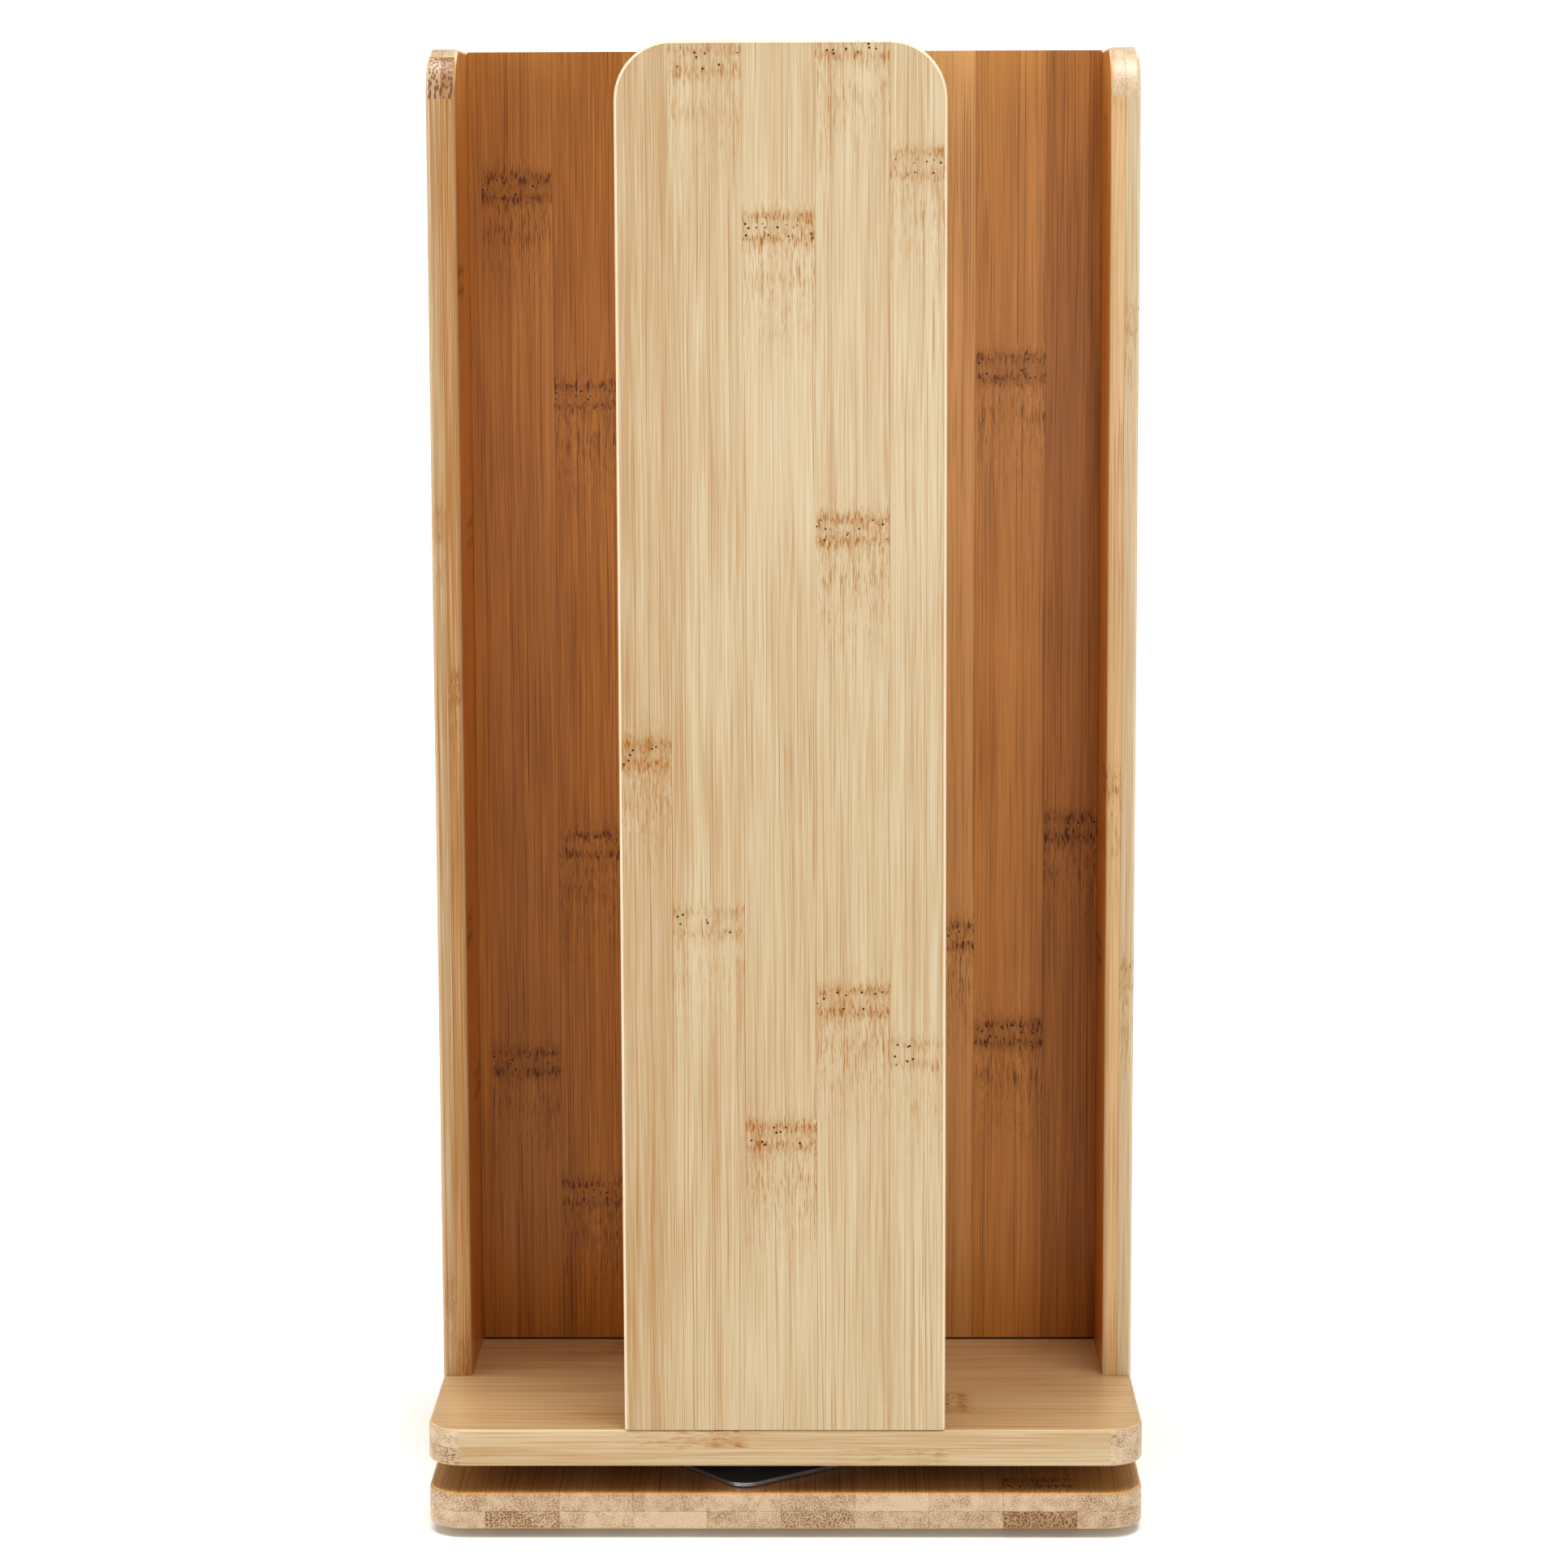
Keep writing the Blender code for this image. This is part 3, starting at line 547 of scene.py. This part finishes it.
beside = put(tree, "ShaderNodeMath", {0: left_gap, 1: right_gap}, operation="MINIMUM")
between = put(tree, "ShaderNodeMath", {0: ply_gap}, operation="ABSOLUTE")
nearest = put(tree, "ShaderNodeMath", {0: beside, 1: between}, operation="MINIMUM")
glue = put(tree, "ShaderNodeMapRange", {0: nearest, 1: 0.05 * MM, 2: 0.16 * MM, 3: 1.0, 4: 0.0})
patchy = put(tree, "ShaderNodeMapRange", {0: wide, 1: 0.4, 2: 0.62, 3: 0.15, 4: 0.6})
glue = put(tree, "ShaderNodeMath", {0: glue, 1: patchy}, operation="MULTIPLY")
wood = put(tree, "ShaderNodeMix", {"Factor": glue, "A": wood, "B": fibre}, data_type="RGBA")

# Satin lacquer over a surface that the bundles and seams still show through
stretch = put(tree, "ShaderNodeMapping", {"Vector": own, "Scale": (1800, 40, 1800)})
pores = put(tree, "ShaderNodeTexNoise", {"Vector": stretch, "Scale": 1.0, "Detail": 0.0})
height = put(tree, "ShaderNodeMath", {0: pores, 1: glue})
bump = put(tree, "ShaderNodeBump", {"Height": height, "Strength": 0.35, "Distance": 0.05 * MM}, invert=True)
rough = put(tree, "ShaderNodeMapRange", {0: dark, 3: 0.38, 4: 0.55})
shader = put(tree, "ShaderNodeBsdfPrincipled", {
    "Base Color": wood, "Roughness": rough, "IOR": 1.5, "Specular IOR Level": 0.3, "Coat Weight": 0.25,
    "Coat Roughness": 0.16, "Normal": bump,
})
put(tree, "ShaderNodeOutputMaterial", {"Surface": shader})

low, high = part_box("base_board")
access = turned([(0, low.z - 9 * MM), (ACCESS_RADIUS, low.z - 9 * MM), (ACCESS_RADIUS, high.z + 9 * MM),
                 (0, high.z + 9 * MM)], 40)
bmesh.ops.translate(access, vec=ACCESS_HOLE, verts=access.verts)
lower_plate_screws = [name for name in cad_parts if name.startswith("lower_plate_screw")]
edges = [-79.5 + 19.6 * i for i in range(SEAM_COUNT)]
upper_tones = (0.34, 0.24, 0.2, 0.24, 0.1, 0.24, 0.04, 0.12, 0.16, 0.24)
lower_tones = (0.2, 0.5, 0.26, 0.0, 0.3, 0.42, 0.2, 0.2, 0.5, 0.24)
base_plies = [
    laid_ply(*((edges[i], tones[i], [(first + step * i) % 190]) for i in range(SEAM_COUNT)))
    for first, step, tones in ((37, 67, lower_tones), (61, 41, upper_tones))
]
base_board = laminated_board(
    "base_board_bamboo", low, high, Vector((0, 1, 0)), UP, [BOARD_CORNER] * 4, BOARD_EASE, base_plies,
    (0.1, 0.6), bamboo, cutters=[access, bores(lower_plate_screws, straight(PLATE_SCREW_BORE))],
)
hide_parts("base_board")
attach(base_board, "base")


# ---- Lower bearing plate and its screws ---------------------------------------------------------------
# A square plate of 1 mm steel sheet, pressed with a raised ring that carries the balls, zinc plated and
# passivated almost black, turned on the base so that a corner looks out. Four pan-head screws hold it down.

# Zinc plate, passivated dark: a low satin gloss, clouded, with rub marks, and a painted highlight that
# lightens its sharp edges
zinc, tree = new_material("black_zinc_plated_steel")
place = put(tree, "ShaderNodeTexCoord").node.outputs["Object"]
cloud = put(tree, "ShaderNodeTexNoise", {"Vector": place, "Scale": 1 / (9 * MM), "Detail": 4.0})
spangle = put(tree, "ShaderNodeTexNoise", {"Vector": place, "Scale": 1 / (0.8 * MM), "Detail": 2.0})
rub = put(tree, "ShaderNodeMapping", {"Vector": place, "Rotation": (0, 0, 0.7), "Scale": (2500, 60, 60)})
rub = put(tree, "ShaderNodeTexNoise", {"Vector": rub, "Scale": 1.0, "Detail": 2.0, "Distortion": 0.6})
rub = put(tree, "ShaderNodeMapRange", {0: rub, 1: 0.66, 2: 0.74})
tint = put(tree, "ShaderNodeMix", {"Factor": cloud, "A": linear("#87838F"), "B": linear("#989290")},
           data_type="RGBA")
tint = put(tree, "ShaderNodeMix", {"Factor": rub, "A": tint, "B": linear("#8E9196")}, data_type="RGBA")
# Painted highlight: sharp edges are lightened to a pale blue-grey
edge_highlight = put(tree, "ShaderNodeNewGeometry").node.outputs["Pointiness"]
edge_highlight = put(tree, "ShaderNodeMapRange", {0: edge_highlight, 1: 0.52, 2: 0.56})
tint = put(tree, "ShaderNodeMix", {"Factor": edge_highlight, "A": tint, "B": linear("#B9BEC8")}, data_type="RGBA")
rough = put(tree, "ShaderNodeMapRange", {0: spangle, 1: 0.3, 2: 0.7, 3: 0.28, 4: 0.46})
bump = put(tree, "ShaderNodeBump", {"Height": spangle, "Strength": 0.15, "Distance": 0.02 * MM})
shader = put(tree, "ShaderNodeBsdfPrincipled", {
    "Base Color": tint, "Metallic": 1.0, "Roughness": rough, "Normal": bump,
})
put(tree, "ShaderNodeOutputMaterial", {"Surface": shader})


def dress(material, *nodes):
    """Gives CAD nodes that are shown as they are a material in every slot."""
    for node in nodes:
        mesh = bpy.data.objects[node].data
        mesh.materials.clear()
        mesh.materials.append(material)


dress(zinc, "lower_bearing_plate")


def cross_recess(width, depth, top):
    """A tapered cross, to be cut into a screw's head from above."""
    arm = width / 2
    half = width / 8
    quarter = ((arm, -half), (arm, half), (half, half))
    turns = [Matrix.Rotation(turn * math.pi / 2, 2) for turn in range(4)]
    sides = [turn @ Vector(point) for turn in turns for point in quarter]
    bm = bmesh.new()
    foot = [bm.verts.new((0.45 * x, 0.45 * y, top - depth)) for x, y in sides]
    mouth = [bm.verts.new((x, y, top + depth)) for x, y in sides]
    bm.faces.new(foot[::-1])
    bm.faces.new(mouth)
    for i in range(len(sides)):
        bm.faces.new((foot[i - 1], foot[i], mouth[i], mouth[i - 1]))
    return bm


def thread(outer, core, top, tip, pitch):
    """A wood screw's thread as a turned profile from its tip up to the end of its thread."""
    profile = [(0, tip)]
    height = tip + 2 * pitch
    while height < top - pitch:
        taper = min(1.0, (height - tip) / (4 * pitch))
        profile.append((core * taper, height))
        profile.append((outer * taper, height + 0.35 * pitch))
        profile.append((core * taper, height + 0.5 * pitch))
        height += pitch
    return profile + [(core, height)]


def pan_screw(head_radius, head_height, shank, length):
    """A pan-head screw with the underside of its head at height 0, pointing down."""
    profile = thread(shank, shank * 0.7, -0.5 * MM, -length, 0.9 * MM)
    profile += [(shank, -0.2 * MM), (shank, 0), (head_radius - 0.15 * MM, 0), (head_radius, 0.2 * MM)]
    for step in range(1, 6):
        angle = step * math.pi / 12
        profile.append((head_radius * math.cos(angle), head_height * (0.3 + 0.7 * math.sin(angle))))
    profile.append((0, head_height))
    screw = finish_piece(turned(profile, 28), "screw")
    take_out(screw, cross_recess(1.1 * head_radius, 0.6 * head_height, head_height))
    return screw


PAN_HEIGHT = 1.8 * MM
low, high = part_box(lower_plate_screws[0])
pan_radius = (high.x - low.x) / 2
pan_length = high.z - low.z - PAN_HEIGHT
seats = []
for name in lower_plate_screws:
    low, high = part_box(name)
    seats.append(((low.x + high.x) / 2, (low.y + high.y) / 2, high.z - PAN_HEIGHT))
screws = set_on_points(
    "lower_plate_screw_set", seats, pan_screw(pan_radius, PAN_HEIGHT, 1.5 * MM, pan_length), zinc,
    most_turn=math.pi / 2, seed=3,
)
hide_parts(*lower_plate_screws)
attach(screws, "base")


# ---- Ball cage and balls ------------------------------------------------------------------------------
# Twelve hardened steel balls roll between the plates, kept apart by a flat ring moulded in natural nylon.
# Ring and balls go round at half the turntable's speed.

# Injection moulded nylon: off-white, waxy and slightly translucent
nylon, tree = new_material("moulded_nylon")
place = put(tree, "ShaderNodeTexCoord").node.outputs["Object"]
haze = put(tree, "ShaderNodeTexNoise", {"Vector": place, "Scale": 1 / (6 * MM), "Detail": 2.0})
tint = put(tree, "ShaderNodeMix", {"Factor": haze, "A": linear("#E3DFD2"), "B": linear("#D3CDBB")},
           data_type="RGBA")
rough = put(tree, "ShaderNodeMapRange", {0: haze, 1: 0.3, 2: 0.7, 3: 0.4, 4: 0.55})
shader = put(tree, "ShaderNodeBsdfPrincipled", {
    "Base Color": tint, "Roughness": rough, "IOR": 1.53, "Subsurface Weight": 0.15,
    "Subsurface Scale": 0.5 * MM,
})
put(tree, "ShaderNodeOutputMaterial", {"Surface": shader})
dress(nylon, "ball_cage")

# Ground and polished bearing steel under a film of grease: bright, duller in patches
ball_steel, tree = new_material("hardened_steel")
place = put(tree, "ShaderNodeTexCoord").node.outputs["Object"]
film = put(tree, "ShaderNodeTexNoise", {"Vector": place, "Scale": 1 / (2 * MM), "Detail": 2.0})
tint = put(tree, "ShaderNodeMix", {"Factor": film, "A": linear("#C9CCD0"), "B": linear("#A9ABAE")},
           data_type="RGBA")
rough = put(tree, "ShaderNodeMapRange", {0: film, 1: 0.3, 2: 0.7, 3: 0.08, 4: 0.25})
shader = put(tree, "ShaderNodeBsdfPrincipled", {"Base Color": tint, "Metallic": 1.0, "Roughness": rough})
put(tree, "ShaderNodeOutputMaterial", {"Surface": shader})

balls = [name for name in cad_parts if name.startswith("bearing_ball")]
low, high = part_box(balls[0])
ball_radius = (high.z - low.z) / 2
arc = [step * math.pi / 16 for step in range(1, 16)]
ball_profile = [(ball_radius * math.sin(angle), -ball_radius * math.cos(angle)) for angle in arc]
ball = finish_piece(turned([(0, -ball_radius), *ball_profile, (0, ball_radius)], 28), "ball")
centres = [(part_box(name)[0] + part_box(name)[1]) / 2 for name in balls]
ball_ring = set_on_points("bearing_balls", centres, ball, ball_steel, most_turn=3.0, seed=5)
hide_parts(*balls)
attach(ball_ring, "ball_set")


# ---- Upper bearing plate, lock ring and screws --------------------------------------------------------
# The same pressed plate turned over, screwed under the turntable. A flanged ring, pressed into its bore,
# hooks under the lower plate and keeps the bearing together.

dress(zinc, "upper_bearing_plate", "bearing_lock_ring")
upper_plate_screws = [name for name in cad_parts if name.startswith("upper_plate_screw")]
seats = []
for name in upper_plate_screws:
    low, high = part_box(name)
    seats.append(((low.x + high.x) / 2, (low.y + high.y) / 2, low.z + PAN_HEIGHT))
screws = set_on_points(
    "upper_plate_screw_set", seats, pan_screw(pan_radius, PAN_HEIGHT, 1.5 * MM, pan_length), zinc,
    most_turn=math.pi / 2, tip_over=math.pi, seed=8,
)
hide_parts(*upper_plate_screws)
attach(screws, "turntable")


# ---- Turntable board --------------------------------------------------------------------------------
# The same board again, with its grain running left to right, so that its front edge shows long grain and
# its rounded corners end grain. Screws rise through it into the uprights, their heads countersunk below.

HEAD_DEPTH = 1.8 * MM
HEAD_RADIUS = 2.8 * MM
SHANK_RADIUS = 1.4 * MM
upright_screws = [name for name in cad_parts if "panel_screw" in name or "divider_screw" in name]
head_bore, shank_bore = HEAD_RADIUS + 0.25 * MM, SHANK_RADIUS + 0.25 * MM
countersunk = [
    (0, 0, -2 * MM), (head_bore, 0, -2 * MM), (head_bore, 0, 0),
    (shank_bore, 0, HEAD_DEPTH + 0.2 * MM), (shank_bore, 1, 0.3 * MM), (0, 1, 0.3 * MM),
]
low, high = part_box("turntable_board")
turntable_board = laminated_board(
    "turntable_board_bamboo", low, high, Vector((1, 0, 0)), UP, [BOARD_CORNER] * 4, BOARD_EASE,
    (random_ply(31, 0.19, 0.19, 0.25),
     laid_ply((-76.8, 0.15, [172, (80, 0.6)]), (-57.4, 0.2, [150]), (-38, 0.16, [38, 149]),
              (-18.6, 0.24, [20, 170]), (0.8, 0.28, [120]), (20.2, 0.2, [60]), (39.6, 0.16, [90]),
              (59, 0.2, [110]), (78.4, 0.12, [140]), (97.8, 0.2, [80]))),
    (0.1, 0.2), bamboo,
    cutters=[bores(upright_screws, countersunk), bores(upper_plate_screws, straight(PLATE_SCREW_BORE))],
)
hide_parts("turntable_board")
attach(turntable_board, "turntable")


# ---- Upright screws -----------------------------------------------------------------------------------
# Twelve long countersunk wood screws: one up into the foot of each divider's end, and two into each panel.

def countersunk_screw(length):
    """A countersunk screw with the face of its head at height 0, pointing down."""
    profile = thread(SHANK_RADIUS, SHANK_RADIUS * 0.68, -0.4 * length, -length, 1.3 * MM)
    profile += [(SHANK_RADIUS, -0.39 * length), (SHANK_RADIUS, -HEAD_DEPTH), (HEAD_RADIUS, -0.15 * MM),
                (HEAD_RADIUS, 0), (0, 0)]
    screw = finish_piece(turned(profile, 28), "screw")
    take_out(screw, cross_recess(1.1 * HEAD_RADIUS, 0.7 * HEAD_DEPTH, 0))
    return screw


low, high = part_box(upright_screws[0])
seats = []
for name in upright_screws:
    one_low, one_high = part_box(name)
    seats.append(((one_low.x + one_high.x) / 2, (one_low.y + one_high.y) / 2, one_low.z))
screws = set_on_points(
    "upright_screw_set", seats, countersunk_screw(high.z - low.z), zinc,
    most_turn=math.pi / 2, tip_over=math.pi, seed=11,
)
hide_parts(*upright_screws)
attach(screws, "turntable")


# ---- Dividers ---------------------------------------------------------------------------------------
# Two upright boards, 8 mm thick, that cross on the axis in a half-lap: one is slotted from below and the
# other from above. They are glued, doweled to the panels at their ends and screwed from below.

FOOT_GAP = 0.5 * MM  # a divider's lower edge stands just clear of the turntable
END_GAP = 0.05 * MM  # and its ends are glued up against the panels
LAP_PLAY = 0.1 * MM
DOWEL_BORE = 2.2 * MM  # radius, for a 4 mm dowel and its glue
PILOT_BORE = 1.6 * MM
board_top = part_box("turntable_board")[1].z
dowels = [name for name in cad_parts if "dowel" in name]


def slot_cutter(half_width, low, high):
    bm = bmesh.new()
    middle = Matrix.Translation((0, 0, (low + high) / 2))
    size = Matrix.Diagonal((2 * half_width, 2 * half_width, high - low, 1))
    bmesh.ops.create_cube(bm, size=1.0, matrix=middle @ size)
    return bm


def end_or_foot(spot, size):
    return spot.y < 0.01 * MM or abs(spot.x) > size.x / 2 - 0.01 * MM


# Strips of the divider's front face. Painted shade and light: the left half gets dark tones (0.7 to 1.0)
# for the shade in the left bay, and the right half lighter tones, some with less steamed colour, for the
# light in the right bay
across_ply_shaded_left = laid_ply(
    (-83.4, 0.7, []), (-64, 0.8, [(80, 0.8), 325]), (-44.6, 1.0, [42, 142, 268]), (-25.2, 0.9, [200]),
    (-5.8, 0.8, [110]), (13.6, 0.7, [250]), (33, 0.4, [60, 300], 0.9), (52.5, 0.16, [116], 0.75),
    (72, 0.5, [88, 275], 0.95), (91, 0.75, [147]),
)
divider_width, height = 0.174, 0.362
for node, through, plies, sides in (
    ("divider_across", Vector((0, -1, 0)),
     (random_ply(41, divider_width, height, 0.5), across_ply_shaded_left),
     ("left", "right")),
    ("divider_fore_and_aft", Vector((1, 0, 0)),
     (random_ply(43, divider_width, height, 0.5), random_ply(44, divider_width, height, 0.5)),
     ("front", "rear")),
):
    low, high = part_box(node)
    low.z = board_top + FOOT_GAP
    grow = Vector([abs(c) for c in UP.cross(through)]) * (0.3 * MM - END_GAP)
    half = (high.z - low.z) / 2 + low.z
    span = (low.z - MM, half + LAP_PLAY) if node == "divider_across" else (half - LAP_PLAY, high.z + MM)
    thick = abs((high - low).dot(through))
    pins = [name for name in dowels if name.startswith(sides)]
    screws = [name for name in upright_screws if "divider" in name and name.startswith(sides)]
    divider = laminated_board(
        f"{node}_bamboo", low - grow, high + grow, UP, through, [0, 0, 0, 0], 0.5 * MM, plies,
        (1.0, 1.0), bamboo, end_or_foot,
        cutters=[slot_cutter(thick / 2 + LAP_PLAY, *span), bores(pins, straight(DOWEL_BORE)),
                 bores(screws, straight(PILOT_BORE))],
    )
    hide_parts(node)
    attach(divider, "turntable")


# ---- Outer panels -----------------------------------------------------------------------------------
# Four upright boards that close the dividers' ends. Two plies, 4 mm each, the inner one steamed darker,
# with their two upper corners cut round and every arris but the lower one sanded to a small radius.
# The inner ply's broad face takes more of the steamed colour than its edges, as painted orange bounce
# light, and the arrises are lightened as a painted highlight.

PANEL_CORNER = 15 * MM
PANEL_EASE = 1.2 * MM
GLUE_GAP = 0.05 * MM
directions = {
    "front": Vector((0, -1, 0)), "right": Vector((1, 0, 0)),
    "rear": Vector((0, 1, 0)), "left": Vector((-1, 0, 0)),
}
panel_width = 84.8 * MM
panel_plies = {
    "front": (
        random_ply(51, panel_width, height, 0.4),
        laid_ply((-28.7, 0.44, [180]), (-10, 0.2, [(136, 0.5), (357, 0.6)]), (8.7, 0.16, [79, 315]),
                 (27.8, 0.1, [115, 238, (361, 0.7)]), (50, 0.12, [(101, 0.45), (331, 0.7)])),
    ),
    "right": (random_ply(53, panel_width, height, 0.0), random_ply(54, panel_width, height, 0.04)),
    "rear": (random_ply(55, panel_width, height, 0.4), random_ply(56, panel_width, height, 0.18)),
    "left": (random_ply(57, panel_width, height, 0.05), random_ply(58, panel_width, height, 0.22)),
}
# Steamed colour of the inner and outer ply; the inner plies' high values are partly real steaming and
# partly painted bounce light in the bays
panel_steam_and_bounce = {"front": (0.6, 0.0), "right": (1.0, 0.1), "rear": (0.6, 0.0), "left": (0.9, 0.0)}
panel_sides = {"front": (0.2, 0.1), "right": (0.1, 0.0), "rear": (0.2, 0.1), "left": (0.9, 0.3)}


def foot(spot, size):
    return spot.y < 0.01 * MM


for side, outward in directions.items():
    low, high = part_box(f"{side}_panel")
    low.z = board_top + GLUE_GAP
    pins = [name for name in dowels if name.startswith(side)]
    screws = [name for name in upright_screws if name.startswith(f"{side}_panel")]
    panel = laminated_board(
        f"{side}_panel_bamboo", low, high, UP, outward, [0, 0, PANEL_CORNER, PANEL_CORNER], PANEL_EASE,
        panel_plies[side], panel_steam_and_bounce[side], bamboo, foot,
        [bores(pins, straight(DOWEL_BORE)), bores(screws, straight(PILOT_BORE))],
        # Painted highlight on the arrises, strongest on the front panel
        side_shade=panel_sides[side], arris_highlight=0.6 if side == "front" else 0.2,
    )
    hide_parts(f"{side}_panel")
    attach(panel, "turntable")


# ---- Dowels -------------------------------------------------------------------------------------------
# Eight beech dowels, 4 mm thick, glued half in a panel and half in a divider's end. They are hidden.

# Turned beech: pinkish tan, matt, with short flecks along the grain
beech, tree = new_material("beech_dowel")
place = put(tree, "ShaderNodeTexCoord").node.outputs["Object"]
flecks = put(tree, "ShaderNodeMapping", {"Vector": place, "Scale": (600, 600, 4000)})
flecks = put(tree, "ShaderNodeTexNoise", {"Vector": flecks, "Scale": 1.0, "Detail": 3.0})
tint = put(tree, "ShaderNodeMix", {"Factor": flecks, "A": linear("#D9B48A"), "B": linear("#B98A5E")},
           data_type="RGBA")
bump = put(tree, "ShaderNodeBump", {"Height": flecks, "Strength": 0.3, "Distance": 0.05 * MM})
shader = put(tree, "ShaderNodeBsdfPrincipled", {"Base Color": tint, "Roughness": 0.7, "Normal": bump})
put(tree, "ShaderNodeOutputMaterial", {"Surface": shader})
dress(beech, *dowels)


# ---- Studio -----------------------------------------------------------------------------------------
# A round white floor in a white surround, lit by soft boxes: the strongest above and to the left, small
# ones in front that open up the bays, and weaker ones behind.

def soft_box(name, azimuth, elevation, distance, size, power):
    """A rectangular light, azimuth degrees to the right of the front, aimed at the object's middle."""
    light = bpy.data.lights.new(name, "AREA")
    light.shape = "RECTANGLE"
    light.size, light.size_y = size
    light.energy = power
    lamp = bpy.data.objects.new(name, light)
    turn, lift = math.radians(azimuth), math.radians(elevation)
    away = Vector((math.sin(turn) * math.cos(lift), -math.cos(turn) * math.cos(lift), math.sin(lift)))
    lamp.location = Vector((0, 0, 0.2)) + away * distance
    lamp.rotation_euler = away.to_track_quat("Z", "Y").to_euler()
    lamp.visible_camera = False
    bpy.context.scene.collection.objects.link(lamp)


soft_box("key_right", 30, 68, 2.2, (0.8, 0.8), 11)
soft_box("key_left", -68, 24, 2.2, (0.5, 0.5), 2.5)
soft_box("soft_box_front", 4, 3, 2.2, (0.8, 0.5), 3)
soft_box("soft_box_right", 33, 5, 2.2, (0.5, 0.6), 1.5)
soft_box("soft_box_left", -36, 5, 2.2, (0.5, 0.6), 7)
soft_box("soft_box_far_right", 78, 12, 2.2, (0.3, 1.6), 6)
soft_box("soft_box_far_left", -82, 12, 2.2, (0.3, 1.6), 3)
soft_box("soft_box_above", 0, 87, 2.2, (1.0, 1.0), 14)
soft_box("soft_box_above_left", -85, 70, 2.2, (0.8, 0.8), 10)
soft_box("soft_box_above_right", 85, 72, 2.2, (0.8, 0.8), 3)
soft_box("soft_box_behind_right", 150, 35, 2.2, (1.0, 1.0), 8)
soft_box("soft_box_behind_left", -150, 30, 2.2, (1.0, 1.0), 6)

# Floor: white paper, lit a little more the further off it is, so that it meets the surround unseen
bm = bmesh.new()
bmesh.ops.create_circle(bm, cap_ends=True, segments=96, radius=8.0)
paper, tree = new_material("white_paper")
place = put(tree, "ShaderNodeTexCoord").node.outputs["Object"]
far = put(tree, "ShaderNodeVectorMath", {0: place}, operation="LENGTH").node.outputs["Value"]
glow = put(tree, "ShaderNodeMapRange", {0: far, 1: 0.8, 2: 4.0, 3: 0.08, 4: 0.75})
shader = put(tree, "ShaderNodeBsdfPrincipled", {
    "Base Color": linear("#F6F5F3"), "Roughness": 0.8, "Emission Color": (1, 1, 1, 1),
    "Emission Strength": glow,
})
put(tree, "ShaderNodeOutputMaterial", {"Surface": shader})
floor = finish_piece(bm, "white_floor", paper)

world = bpy.data.worlds.new("white_surround")
bpy.context.scene.world = world
world.use_nodes = True
world.node_tree.nodes.clear()
seen = put(world.node_tree, "ShaderNodeLightPath").node.outputs["Is Camera Ray"]
level = put(world.node_tree, "ShaderNodeMapRange", {0: seen, 3: 0.18, 4: 1.0})
surround = put(world.node_tree, "ShaderNodeBackground", {"Color": (1, 1, 1, 1), "Strength": level})
put(world.node_tree, "ShaderNodeOutputWorld", {"Surface": surround})

# The camera stands 1.2 m in front, a little right of the middle, and looks down by about eight degrees
scene = bpy.context.scene
scene.view_settings.view_transform = "Standard"
scene.view_settings.look = "High Contrast"
lens = bpy.data.cameras.new("camera")
lens.sensor_width = 36
lens.lens = 98.53
camera = bpy.data.objects.new("camera", lens)
yaw, pitch, roll = math.radians(0.67), math.radians(7.863), math.radians(0.184)
ahead = Vector((-math.sin(yaw) * math.cos(pitch), math.cos(yaw) * math.cos(pitch), -math.sin(pitch)))
level_right = Vector((math.cos(yaw), math.sin(yaw), 0))
level_up = level_right.cross(ahead)
right = math.cos(roll) * level_right - math.sin(roll) * level_up
upward = math.sin(roll) * level_right + math.cos(roll) * level_up
camera.matrix_world = Matrix((right, upward, -ahead)).transposed().to_4x4()
camera.location = (13.2 * MM, -1195 * MM, 353.8 * MM)
bpy.context.scene.collection.objects.link(camera)
scene.camera = camera
